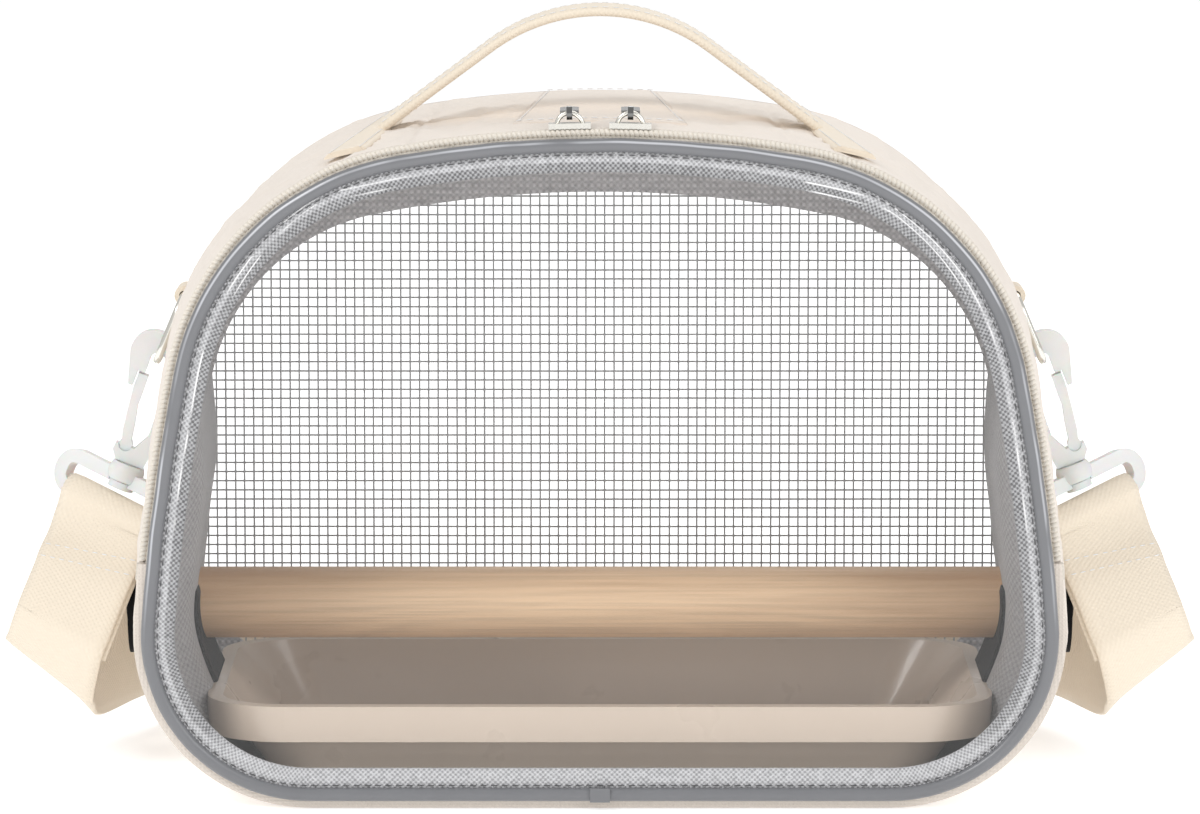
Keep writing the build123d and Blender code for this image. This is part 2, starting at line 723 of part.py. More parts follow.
def top_patch():
    """Reinforcement sewn over the middle of the gusset's top."""
    front, rear = PATCH_FRONT_WIDTH / 2, PATCH_REAR_WIDTH / 2
    y_start, y_end = Y_SLIDER_BACK + PATCH_FRONT_MARGIN, Y_REAR - PATCH_REAR_MARGIN
    outline = Polyline(
        (-front, y_start), (front, y_start), (rear, y_end), (-rear, y_end), close=True
    )
    column = extrude(Pos(0, 0, CABIN_HEIGHT - 20) * make_face(outline), 40)
    return band(cabin, -PATCH_THICKNESS, 0, y_start, y_end) & column


# ================================================================ shoulder strap
tilt = math.radians(HOOK_TILT)
yaw = math.radians(STRAP_YAW)
hub = Vector(-cabin_side - HUB_STANDOFF, 0, HUB_Z)
across_u = Vector(-math.cos(tilt), 0, math.sin(tilt))
along_w = Vector(math.sin(tilt), 0, math.cos(tilt))
depth_y = Vector(0, 1, 0)
across_v = across_u * math.cos(yaw) + depth_y * math.sin(yaw)
hook_plane = Plane(origin=hub, x_dir=across_u, z_dir=depth_y)
loop_plane = Plane(
    origin=hub, x_dir=across_v, z_dir=depth_y * math.cos(yaw) - across_u * math.sin(yaw)
)


def on_stem(u, w, y=0.0):
    """Point in the hook's plane, from the middle of the hub."""
    return hub + across_u * u + along_w * w + depth_y * y


def plate_on(plane, sketch, thickness):
    """A sketch as a plate, centred on its plane."""
    return extrude(plane * sketch, amount=thickness / 2, both=True)


def stem_rod(radius, w_start, w_end):
    """Cylinder along the stem."""
    middle = Plane(origin=on_stem(0, (w_start + w_end) / 2), x_dir=depth_y, z_dir=along_w)
    return middle * Cylinder(radius, abs(w_end - w_start))


def d_ring():
    """Wire ring held by the tab on the gusset."""
    bar_x = tab_bar_x()
    apex = Vector(RING_APEX_INSET - cabin_side, 0, RING_APEX_Z)
    bar = Vector(-bar_x, 0, RING_BAR_HEIGHT)
    rise = bar - apex
    plane = Plane(
        origin=(apex + bar) * 0.5, x_dir=depth_y, z_dir=depth_y.cross(rise).normalized()
    )
    outline = plane * RectangleRounded(
        RING_WIDTH + 2 * RING_WIRE_RADIUS, rise.length, RING_CORNER + RING_WIRE_RADIUS
    )
    path = outline.faces()[0].outer_wire()
    section = Plane(origin=path @ 0, z_dir=path % 0) * Circle(RING_WIRE_RADIUS)
    return sweep(section, path=path)


def tab_bar_x():
    """Distance of the ring's bar from the middle, with its tab against the shoulder."""
    centre = cabin.c_shoulder
    reach = SHOULDER_RADIUS + TAB_THICKNESS + CLEAR + RING_WIRE_RADIUS + FIT
    return centre[0] + math.sqrt(reach**2 - (RING_BAR_HEIGHT - centre[1]) ** 2)


def ring_tabs():
    """Webbing tabs sewn to the gusset, folded round the rings' bars."""
    half = TAB_WIDTH / 2
    tail = band(cabin, -TAB_THICKNESS, 0, -half, half) & block(
        (-CABIN_WIDTH, 0), (-half, half), (RING_BAR_HEIGHT, RING_BAR_HEIGHT + TAB_LENGTH)
    )
    inner = RING_WIRE_RADIUS + CLEAR
    eye = Pos(-tab_bar_x(), 0, RING_BAR_HEIGHT) * Rot(90, 0, 0) * (
        Cylinder(inner + TAB_THICKNESS, TAB_WIDTH) - Cylinder(inner, TAB_WIDTH)
    )
    hollow = Pos(-tab_bar_x(), 0, RING_BAR_HEIGHT) * Rot(90, 0, 0) * Cylinder(
        inner, TAB_WIDTH
    )
    return both_sides((tail - hollow) + eye)


def snap_hook():
    """Hook with its spine on the cabin's side, a swivel stem and the stem's head."""
    eye = (EYE_U, EYE_W)
    crook = (CROOK_U, CROOK_W)
    outer = [polar(crook, CROOK_RADIUS, a) for a in (-8, 91, 190)]
    inner = [polar(eye, EYE_RADIUS, a) for a in (190, 90, -5)]
    seat = GATE_PIVOT_W - 0.4
    points_down = [(-5.8, 26.0), (-6.2, 12.0), (-4.8, COLLAR_HALF_HEIGHT + CLEAR)]
    points_base = [
        (4.8, COLLAR_HALF_HEIGHT + CLEAR), (6.9, 6.2), (6.7, seat), (0.2, seat),
        (-2.6, 14.0), (-2.2, 30.0),
    ]
    nose = [(5.8, 33.7), (8.3, 33.7), (8.3, 28.3), (9.9, 28.3)]
    edges = [
        ThreePointArc(*outer),
        Polyline(outer[2], *points_down, *points_base, inner[0]),
        ThreePointArc(*inner),
        Polyline(inner[2], *nose, outer[0]),
    ]
    body = plate_on(hook_plane, make_face(edges), HOOK_THICKNESS)
    pivot = Plane(origin=on_stem(GATE_PIVOT_U, GATE_PIVOT_W), z_dir=depth_y)
    body -= pivot * Cylinder(GATE_KNUCKLE + FIT, HOOK_THICKNESS + 2)
    head_w = -COLLAR_HALF_HEIGHT - CLEAR
    stem = stem_rod(STEM_RADIUS, COLLAR_HALF_HEIGHT + 1, head_w - 0.5)
    head = stem_rod(STEM_HEAD_RADIUS, head_w, head_w - STEM_HEAD_LENGTH)
    return body + stem + head


def hook_gate():
    """Springy tongue that closes the hook, on its knuckle."""
    outline = Polyline(
        (1.9, 9.4), (2.9, 16.0), (4.2, 22.0), (4.2, 27.0), (4.4, 33.0),
        (7.8, 33.0), (7.8, 28.0), (6.8, 19.0), (6.0, 13.0), (4.9, 9.4), close=True,
    )
    blade = plate_on(hook_plane, make_face(outline), GATE_THICKNESS)
    pivot = Plane(origin=on_stem(GATE_PIVOT_U, GATE_PIVOT_W), z_dir=depth_y)
    return blade + pivot * Cylinder(GATE_KNUCKLE, GATE_THICKNESS)


def swivel_loop():
    """Loop that carries the webbing, with a collar round the hook's stem."""
    low = LOOP_BAR_W - LOOP_THICKNESS / 2
    height = LOOP_TOP_W - low
    slot_low = LOOP_BAR_W + LOOP_THICKNESS / 2
    slot_high = LOOP_TOP_W - LOOP_ARM + 0.2
    outer = Pos(0, (LOOP_TOP_W + low) / 2) * RectangleRounded(
        LOOP_WIDTH + 2 * LOOP_ARM, height, height / 2 - 0.05
    )
    slot = Pos(0, (slot_low + slot_high) / 2) * RectangleRounded(
        LOOP_WIDTH, slot_high - slot_low, 2.4
    )
    ring = plate_on(loop_plane, outer - slot, LOOP_THICKNESS)
    collar = Plane(origin=hub, x_dir=depth_y, z_dir=along_w) * Sphere(HUB_RADIUS)
    collar &= stem_rod(HUB_RADIUS + 1, -COLLAR_HALF_HEIGHT, COLLAR_HALF_HEIGHT)
    room = stem_rod(
        STEM_HEAD_RADIUS + CLEAR, -COLLAR_HALF_HEIGHT, -COLLAR_HALF_HEIGHT - 12
    ) & plate_on(loop_plane, Pos(0, -5.8) * Rectangle(20, 7), 20)
    hole = stem_rod(STEM_RADIUS + FIT, -COLLAR_HALF_HEIGHT - 1, COLLAR_HALF_HEIGHT + 1)
    above_collar = stem_rod(HUB_RADIUS + 4, COLLAR_HALF_HEIGHT, COLLAR_HALF_HEIGHT + 4)
    return (ring + collar) - room - hole - above_collar


def beside(out, y, z):
    """Point out from the cabin's widest point, on the left."""
    return Vector(-cabin_side - out, y, z)


# Stations of the left half of the webbing: middle, across direction, thickness.
ply = STRAP_THICKNESS
Y_STRAP = Y_REAR + STRAP_SLACK + ply
stations = [
    (on_stem(0, -17.0), across_v, 4 * ply),
    (on_stem(0.3, -26.0, -5), across_v, 2.4 * ply),
    (on_stem(0.6, -36.0, -12), across_v, 2 * ply),
    (on_stem(0.8, -50.0, -14), Vector(-0.78, 0.52, 0.35), 2 * ply),
    (on_stem(0.6, -60.0, -12), Vector(-0.78, 0.50, 0.39), 2 * ply),
    (beside(30.7, -5, 34.0), Vector(-0.78, 0.42, 0.46), ply),
    (beside(30.9, 4, 30.6), Vector(-0.74, 0.36, 0.57), ply),
    (beside(27.6, 16, 29.6), Vector(-0.56, 0.26, 0.79), ply),
    (beside(21.1, 32, 29.4), Vector(-0.30, 0.14, 0.94), ply),
    (beside(13.6, Y_REAR - 30, 29.3), Vector(-0.10, 0.05, 0.99), ply),
    (beside(5.6, Y_REAR - 11, 29.4), Vector(0, 0, 1), ply),
    (beside(-2.9, Y_REAR + 3.5, STRAP_RUN_HEIGHT), Vector(0, 0, 1), ply),
    (beside(-17.9, Y_STRAP - 1.5, STRAP_RUN_HEIGHT), Vector(0, 0, 1), ply),
    (beside(-41.9, Y_STRAP, STRAP_RUN_HEIGHT), Vector(0, 0, 1), ply),
    (Vector(0.0, Y_STRAP, STRAP_RUN_HEIGHT), Vector(0, 0, 1), ply),
]


def strap_section(index):
    """Rectangle across the webbing at one station."""
    middle, across, thickness = stations[index]
    before = stations[max(index - 1, 0)][0]
    after = stations[min(index + 1, len(stations) - 1)][0]
    heading = (after - before).normalized()
    if index == 0:
        heading = along_w * -1
    if index == len(stations) - 1:
        heading = Vector(1, 0, 0)
    side = (across - heading * across.dot(heading)).normalized()
    return Plane(origin=middle, x_dir=side, z_dir=heading) * Rectangle(STRAP_WIDTH, thickness)


def strap_webbing():
    """Webbing from one loop, round behind the cabin, to the other."""
    sections = [strap_section(i) for i in range(len(stations))]
    spans = [loft(list(pair), ruled=True) for pair in zip(sections, sections[1:])]
    run = spans[0].fuse(*spans[1:])
    bar_space = LOOP_THICKNESS + 2 * CLEAR
    fold = plate_on(
        loop_plane,
        Pos(0, LOOP_BAR_W) * Rectangle(STRAP_WIDTH, bar_space + 2 * ply),
        bar_space + 2 * ply,
    )
    bar = plate_on(
        loop_plane, Pos(0, LOOP_BAR_W) * Rectangle(STRAP_WIDTH + 4, bar_space), bar_space
    )
    half = (run + fold) - bar
    return half + mirror(half, Plane.YZ)


def strap_adjuster():
    """Three-bar slide on the straight run of the webbing behind the cabin."""
    z_mid = STRAP_RUN_HEIGHT
    z_in, z_out = STRAP_WIDTH / 2 + CLEAR, ADJUSTER_HEIGHT / 2
    y_in = Y_STRAP - ply / 2 - CLEAR
    y_out = Y_STRAP + ply / 2 + CLEAR
    bar = ADJUSTER_THICKNESS
    half = ADJUSTER_LENGTH / 2
    x_range = (ADJUSTER_X - half, ADJUSTER_X + half)
    frame = block(x_range, (y_out, y_out + bar), (z_mid - z_out, z_mid + z_out))
    frame -= block(
        (x_range[0] + ADJUSTER_SIDE_BAR, x_range[1] - ADJUSTER_SIDE_BAR),
        (y_out, y_out + bar),
        (z_mid - z_in, z_mid + z_in),
    )
    post_x = (ADJUSTER_X - ADJUSTER_SIDE_BAR / 2, ADJUSTER_X + ADJUSTER_SIDE_BAR / 2)
    post = block(post_x, (y_in - bar, y_in), (z_mid - z_out, z_mid + z_out))
    for sign in (-1, 1):
        z_range = sorted((z_mid + sign * z_in, z_mid + sign * z_out))
        post += block(post_x, (y_in - bar, y_out + bar), z_range)
    return frame + post


# ================================================================ output
def build():
    """Write every sub-part."""
    save("gusset_shell", gusset_shell())
    save("gusset_lining", gusset_lining())
    save("base_board", base_board())
    save("rear_panel", rear_panel())
    save("rear_mesh", rear_mesh())
    save("rear_binding", rear_binding())
    save("sill_piping", piping(sill))
    save("sill_binding", binding(sill))
    save("sill_window", window(sill))
    save("sill_seam", sill_seam())
    save("piping_sleeve", piping_sleeve())
    save("gusset_zip_coil", gusset_zip_coil())
    save("zip_stops", zip_stops())
    save("door_piping", piping(door))
    save("door_binding", binding(door))
    save("door_window", window(door))
    save("door_zip_tape", door_zip_tape())
    save("door_zip_coil", door_zip_coil())
    slider = zip_slider()
    pull = pull_tab()
    for side, angle in (("left", -slider_angle), ("right", slider_angle)):
        save("zip_slider_" + side, slider_frame(slider, angle))
        save("zip_pull_" + side, slider_frame(pull, angle))
    save("perch", perch())
    save("perch_inserts", perch_inserts())
    save("wall_patches", wall_patches())
    save_pair("perch_knob", perch_knob())
    save("tray", tray())
    save("handle", handle())
    save("handle_ends", handle_ends())
    save("top_patch", top_patch())
    save_pair("d_ring", d_ring())
    save("ring_tabs", ring_tabs())
    save_pair("snap_hook", snap_hook())
    save_pair("hook_gate", hook_gate())
    save_pair("swivel_loop", swivel_loop())
    save("strap_webbing", strap_webbing())
    save("strap_adjuster", strap_adjuster())


os.makedirs("parts", exist_ok=True)
build()
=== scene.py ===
"""A bird travel carrier: fabric cabin, clear zipped front, wire back, perch, tray and straps."""
import math
import random

import bmesh
import bpy
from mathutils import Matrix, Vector, noise


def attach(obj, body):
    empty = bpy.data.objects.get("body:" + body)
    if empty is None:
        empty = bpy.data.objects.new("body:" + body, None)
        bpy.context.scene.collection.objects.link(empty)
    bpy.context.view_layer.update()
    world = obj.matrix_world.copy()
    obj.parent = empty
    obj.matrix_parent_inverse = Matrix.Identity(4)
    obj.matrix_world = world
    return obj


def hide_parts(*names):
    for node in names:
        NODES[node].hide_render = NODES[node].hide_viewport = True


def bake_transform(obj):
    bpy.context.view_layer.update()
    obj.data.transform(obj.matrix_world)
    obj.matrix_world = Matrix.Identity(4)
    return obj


bl_info = {
    "name": "Bird travel carrier",
    "version": (1, 0, 0),
    "blender": (4, 5, 0),
    "location": "3D View > Sidebar > Carrier",
    "description": "Builds the fabric, vinyl, wire, zip and webbing of a bird carrier",
    "category": "Object",
}

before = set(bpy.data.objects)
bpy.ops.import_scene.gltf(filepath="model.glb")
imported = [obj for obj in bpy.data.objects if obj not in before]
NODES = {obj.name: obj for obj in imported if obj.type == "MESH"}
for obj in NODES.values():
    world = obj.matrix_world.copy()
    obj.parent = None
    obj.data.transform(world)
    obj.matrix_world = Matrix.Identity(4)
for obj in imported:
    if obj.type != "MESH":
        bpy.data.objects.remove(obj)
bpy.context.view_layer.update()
MM = 0.001


# ---------------------------------------------------------------- sizes and colours
def length(name, description, default, low=0.0, high=0.2):
    """A length property in metres."""
    return bpy.props.FloatProperty(
        name=name, description=description, default=default, min=low, max=high,
        precision=5, subtype="DISTANCE", unit="LENGTH",
    )


def colour(name, description, default):
    """A linear colour property."""
    return bpy.props.FloatVectorProperty(
        name=name, description=description, default=default, size=3, min=0.0, max=1.0,
        subtype="COLOR",
    )


class CarrierSizes(bpy.types.PropertyGroup):
    """Sizes of the sewn and woven detail."""

    wire_pitch: length("Wire pitch", "Distance between the wires of the back", 0.003175)
    wire_diameter: length("Wire diameter", "Thickness of one wire", 0.00065)
    coil_pitch: length("Zip pitch", "Distance between the turns of the zip's coil", 0.00155)
    stitch_pitch: length("Stitch pitch", "Distance from one stitch to the next", 0.0034)
    stitch_length: length("Stitch length", "Visible length of one stitch", 0.0023)
    thread: length("Thread", "Thickness of the sewing thread", 0.00045)
    crinkle: length("Crinkle", "Height of the creases in the gusset", 0.0007)
    bulge: length("Bulge", "How far the sides swell at half depth", 0.0038)
    ripple: length("Ripple", "Height of the waves in the clear sheet", 0.0007)


class CarrierColours(bpy.types.PropertyGroup):
    """Colours of the materials."""

    cream: colour("Cream fabric", "Fabric of the gusset and back", (0.90, 0.815, 0.73))
    webbing: colour("Webbing", "Handle and shoulder strap", (0.92, 0.815, 0.67))
    lining: colour("Lining", "Fabric inside the gusset", (0.37, 0.36, 0.365))
    border: colour("Border", "Woven border under the clear sheet", (0.52, 0.52, 0.535))
    vinyl: colour("Piping", "Vinyl piping round the front", (0.165, 0.168, 0.178))
    tape: colour("Zip", "Zip coil and tape", (0.84, 0.78, 0.69))
    tray: colour("Tray", "Plastic of the tray", (0.62, 0.515, 0.42))
    wood: colour("Wood", "Light wood of the perch", (0.86, 0.61, 0.385))
    # The grain colour also serves as the perch's painted shade along its top and its painted shadow
    # at the ends.
    grain: colour("Grain", "Dark lines in the wood", (0.44, 0.24, 0.11))
    frosted: colour("Hooks", "Frosted plastic of hooks and loops", (0.91, 0.92, 0.91))
    floor: colour("Floor", "Floor under the carrier", (0.95, 0.95, 0.95))


def sizes():
    """The scene's sizes of detail."""
    return bpy.context.scene.carrier_sizes


def colours():
    """The scene's colours."""
    return bpy.context.scene.carrier_colours


# ---------------------------------------------------------------- shader expressions
class Value:
    """A shader socket that takes part in Python expressions."""

    def __init__(self, nodes, socket):
        self.nodes = nodes
        self.socket = socket

    def math(self, operation, *others):
        """A Math node of this and other values."""
        inputs = dict(enumerate([self, *others]))
        return self.nodes.out("ShaderNodeMath", {"operation": operation}, inputs)

    def __add__(self, other):
        return self.math("ADD", other)

    def __sub__(self, other):
        return self.math("SUBTRACT", other)

    def __mul__(self, other):
        return self.math("MULTIPLY", other)

    def __rsub__(self, other):
        return self.math("MULTIPLY", -1.0).math("ADD", other)

    __radd__ = __add__
    __rmul__ = __mul__

    def sin(self):
        """Sine, of radians."""
        return self.math("SINE")

    def abs(self):
        """Distance from zero."""
        return self.math("ABSOLUTE")

    def step(self, low, high):
        """0 below low, 1 above high, smooth between."""
        return self.nodes.out(
            "ShaderNodeMapRange", {"interpolation_type": "SMOOTHSTEP"},
            {"Value": self, "From Min": low, "From Max": high},
        )


class Nodes:
    """A shader tree that nodes are added to."""

    def __init__(self, tree):
        self.tree = tree

    def node(self, kind, settings=None, inputs=None):
        """A node with its settings, then its sockets' values or links."""
        made = self.tree.nodes.new(kind)
        for key, value in (settings or {}).items():
            setattr(made, key, value)
        for key, value in (inputs or {}).items():
            target = made.inputs[key]
            if isinstance(value, Value):
                self.tree.links.new(value.socket, target)
            elif target.type == "RGBA" and len(value) == 3:
                target.default_value = (*value, 1.0)
            else:
                target.default_value = value
        return made

    def out(self, kind, settings=None, inputs=None, socket=0):
        """One output of a new node."""
        return Value(self, self.node(kind, settings, inputs).outputs[socket])


class Finish(Nodes):
    """A material built round one Principled shader."""

    def __init__(self, name, **constants):
        self.material = bpy.data.materials.new(name)
        self.material.use_nodes = True
        super().__init__(self.material.node_tree)
        self.shader = self.tree.nodes["Principled BSDF"]
        for socket, value in constants.items():
            self.shader.inputs[socket.replace("_", " ")].default_value = value

    def place(self, kind):
        """The piece's Object or UV coordinates."""
        return self.out("ShaderNodeTexCoord", socket=kind)

    def axes(self, vector):
        """A vector's three parts."""
        made = self.node("ShaderNodeSeparateXYZ", inputs={0: vector})
        return [Value(self, made.outputs[i]) for i in range(3)]

    def stretch(self, vector, scale):
        """Coordinates scaled apart, so that a pattern is drawn out."""
        return self.out(
            "ShaderNodeMapping", {"vector_type": "POINT"}, {"Vector": vector, "Scale": scale}
        )

    def noise(self, vector, scale, detail=2.0):
        """Soft noise, mostly between 0.3 and 0.7."""
        return self.out(
            "ShaderNodeTexNoise", None, {"Vector": vector, "Scale": scale, "Detail": detail}
        )

    def mix(self, factor, first, second):
        """Blend two colours."""
        made = self.node("ShaderNodeMix", {"data_type": "RGBA"}, {0: factor, 6: first, 7: second})
        return Value(self, made.outputs[2])

    def feed(self, socket, value):
        """Link a value to one of the shader's sockets."""
        self.tree.links.new(value.socket, self.shader.inputs[socket])

    def colour(self, value):
        """Link the shader's colour."""
        self.feed("Base Color", value)

    def bump(self, height, distance):
        """Relief from a height, with its depth in metres."""
        self.feed("Normal", self.out(
            "ShaderNodeBump", None, {"Height": height, "Distance": distance, "Strength": 1.0}
        ))


def shade(rgb, factor):
    """A colour made lighter or darker."""
    return tuple(min(1.0, c * factor) for c in rgb)


def threads(a, b, pitch_a, pitch_b):
    """Plain weave: crossing sine rows, from 0 in the gaps to 1 on the threads."""
    return (a * (math.pi / pitch_a)).sin() * (b * (math.pi / pitch_b)).sin() * 0.5 + 0.5


def solid_threads(finish, pitch):
    """Plain weave on any face of a solid, from its object coordinates."""
    x, y, z = [(axis * (math.pi / pitch)).sin() for axis in finish.axes(finish.place("Object"))]
    return (x * z + y * z + x * y) * 0.33 + 0.5


def woven(name, rgb, pitch, relief, uv=True, contrast=0.25, rows=1.0, soil=0.06,
          slubs=(1.0, 4.0, 2.0)):
    """Cloth with visible threads, slubs and a little unevenness of colour."""
    finish = Finish(name, Roughness=0.86, Sheen_Weight=0.25, Specular_IOR_Level=0.25)
    where = finish.place("UV" if uv else "Object")
    if uv:
        u, v, _ = finish.axes(where)
        weave = threads(u, v, pitch, pitch * rows)
    else:
        weave = solid_threads(finish, pitch)
    slub = finish.noise(finish.stretch(where, slubs), 0.35 / pitch, 3.0)
    cloud = finish.noise(where, 22.0, 3.0)
    depth = weave * contrast + slub * contrast
    thread = finish.mix(depth, shade(rgb, 1.0 - contrast), shade(rgb, 1.0 + contrast * 0.35))
    finish.colour(finish.mix(cloud * soil * 2.0, thread, shade(rgb, 0.86)))
    finish.bump(weave + slub * 0.5, relief)
    return finish.material


def moulded(name, rgb, roughness, grain=900.0, relief=0.00004, coat=0.0, **more):
    """Moulded plastic with a fine texture and faint wear."""
    finish = Finish(name, Coat_Weight=coat, **more)
    where = finish.place("Object")
    fine = finish.noise(where, grain, 2.0)
    wear = finish.noise(where, 45.0, 4.0)
    finish.colour(finish.mix(wear * 0.5, rgb, shade(rgb, 0.90)))
    finish.feed("Roughness", wear * 0.18 + (roughness - 0.09))
    finish.bump(fine + wear * 0.6, relief)
    return finish.material


def scratched_metal(name, bright, dull, streaks, haze, roughness):
    """Plated metal whose fine scratches change its colour and its roughness a little."""
    finish = Finish(name, Metallic=1.0)
    where = finish.place("Object")
    scratch = finish.noise(finish.stretch(where, (1.0, 12.0, 1.0)), 700.0, 2.0)
    finish.colour(finish.mix(scratch * streaks, bright, dull))
    finish.feed("Roughness", scratch * haze + roughness)
    finish.bump(scratch, 0.00001)
    return finish.material


def border_weave(name):
    """Woven border, light beside the piping, with painted shade on its inner band at the sides and
    top, where it would fold back.
    """
    pitch = 0.00085
    finish = Finish(name, Roughness=0.8, Sheen_Weight=0.2, Specular_IOR_Level=0.3)
    where = finish.place("UV")
    u, v, _ = finish.axes(where)
    _, _, z = finish.axes(finish.place("Object"))
    weave = threads(u, v, pitch, pitch)
    slub = finish.noise(where, 500.0, 2.0)
    # Painted shade: the inner band at the sides and top takes the darker copy of the weave. Light
    # and dark are lit and shaded copies of one cloth.
    fold_shade = v.step(0.0032, 0.0040) * z.step(0.016, 0.030)
    rgb = tuple(colours().border)
    light = finish.mix((weave + slub).step(0.55, 1.35), shade(rgb, 0.62), shade(rgb, 1.25))
    dark = finish.mix((weave + slub).step(0.65, 1.35), shade(rgb, 0.26), shade(rgb, 0.88))
    finish.colour(finish.mix(fold_shade, light, dark))
    finish.bump(weave + slub * 0.5, 0.00035)
    return finish.material


def turned_brass(name):
    """Machined brass with turning marks."""
    finish = Finish(name, Metallic=1.0)
    x, _, _ = finish.axes(finish.place("Object"))
    rings = (x * 9000.0).sin() * 0.5 + 0.5
    finish.colour(finish.mix(rings * 0.4, (0.72, 0.52, 0.22), (0.50, 0.34, 0.13)))
    finish.feed("Roughness", rings * 0.1 + 0.22)
    finish.bump(rings, 0.00003)
    return finish.material


def sanded_wood(name):
    """Light softwood dowel with long grain and broad bands, painted shade along its top and a
    painted shadow at both ends.
    """
    finish = Finish(name, Specular_IOR_Level=0.35)
    where = finish.place("Object")
    x, y, z = finish.axes(where)
    drift = finish.noise(finish.stretch(where, (5.0, 30.0, 30.0)), 1.0, 4.0)
    rings = ((z + y * 0.5 + drift * 0.03) * 1500.0).sin() * 0.5 + 0.5
    fibre = finish.noise(finish.stretch(where, (16.0, 1400.0, 1400.0)), 1.0, 4.0)
    broad = finish.noise(finish.stretch(where, (4.0, 90.0, 90.0)), 1.0, 3.0)
    light, dark = tuple(colours().wood), tuple(colours().grain)
    body = finish.mix((rings * 0.15 + fibre * 0.85).step(0.30, 0.85), light, shade(light, 0.74))
    # The broad bands are the wood's own tone; the band along the top, by height, is painted shade.
    bands_and_top_shade = finish.mix(broad.step(0.50, 0.72) * 0.45 + z.step(0.055, 0.063) * 0.3, body, dark)
    # Painted shadow: both ends darken, with a slanted edge.
    ends = (x.abs() + z * 0.9).step(0.11, 0.19)
    finish.colour(finish.mix(ends * 0.55, bands_and_top_shade, shade(dark, 0.95)))
    finish.feed("Roughness", fibre * 0.2 + 0.42)
    finish.bump(fibre + rings * 0.2, 0.00008)
    return finish.material


def clear_sheet(name):
    """Clear vinyl with painted highlight streaks along the creases near its seam.

    Its inset attribute is the distance from the seam's outline, in millimetres.
    """
    # bright is the alpha of the painted highlight streaks, and clear is that of the bare sheet.
    clear, bright = 0.03, 0.55
    finish = Finish(
        name, Base_Color=(1.0, 1.0, 1.0, 1.0), Roughness=0.05, IOR=1.5, Specular_IOR_Level=1.0
    )
    where = finish.place("Object")
    x, _, z = finish.axes(where)
    aside = x.abs()
    inset = finish.out("ShaderNodeAttribute", {"attribute_name": "inset"}, socket="Fac")
    drift = finish.noise(finish.stretch(where, (1.0, 0.0, 1.0)), 13.0, 2.0)
    broken = finish.noise(finish.stretch(where, (1.0, 0.0, 1.0)), 60.0, 1.0).step(0.42, 0.54)
    highlight_round_sides = z.step(0.088, 0.096) * aside.step(0.056, 0.066)
    highlight_at_shoulders = aside.step(0.062, 0.070) * (1.0 - aside.step(0.112, 0.120)) * z.step(0.14, 0.15)
    alpha = clear
    # Painted highlights: white lines at two insets, on the rounded sides and at the shoulders,
    # broken by noise.
    for middle, wide, here in ((10.2, 0.42, highlight_round_sides), (12.8, 0.36, highlight_at_shoulders)):
        line = 1.0 - (inset - (drift * 4.0 + (middle - 2.0))).abs().step(wide * 0.3, wide)
        alpha = line * (here * broken) * bright + alpha
    finish.feed("Alpha", alpha)
    finish.bump(drift, 0.0012)
    return finish.material


def shiny_vinyl(name):
    """Soft grey vinyl with a faint leather grain and a painted highlight line along the piping."""
    finish = Finish(name, Coat_Weight=0.35, Coat_Roughness=0.18)
    where = finish.place("Object")
    _, round_piping, _ = finish.axes(finish.place("UV"))
    _, _, z = finish.axes(where)
    # Painted highlight: a thin light line along the piping's outer shoulder, above the bottom
    # corners, broken by noise.
    line = 1.0 - (round_piping - 0.0087).abs().step(0.0001, 0.0006)
    painted_highlight = line * z.step(0.05, 0.09)
    painted_highlight *= finish.noise(where, 30.0, 2.0).step(0.30, 0.55)
    pores = finish.noise(where, 1500.0, 2.0)
    wear = finish.noise(where, 60.0, 3.0)
    rgb = tuple(colours().vinyl)
    body = finish.mix(wear * 0.6, rgb, shade(rgb, 1.25))
    finish.colour(finish.mix(painted_highlight * 0.75, body, shade(rgb, 3.8)))
    finish.feed("Roughness", wear * 0.2 + 0.28)
    finish.bump(pores, 0.00005)
    return finish.material


def wire_finish(name):
    """Dark coated wire with dull patches."""
    finish = Finish(name, Metallic=0.35)
    spots = finish.noise(finish.place("Object"), 260.0, 3.0)
    finish.colour(finish.mix(spots, (0.38, 0.38, 0.385), (0.50, 0.50, 0.505)))
    finish.feed("Roughness", spots * 0.3 + 0.35)
    finish.bump(spots, 0.00003)
    return finish.material


def yarn(name, rgb):
    """Twisted sewing thread or zip coil."""
    finish = Finish(name, Roughness=0.7, Sheen_Weight=0.2)
    where = finish.place("Object")
    twist = finish.noise(where, 2600.0, 2.0)
    finish.colour(finish.mix(twist * 0.7, rgb, shade(rgb, 0.72)))
    finish.bump(twist, 0.0001)
    return finish.material


MATERIALS = {}


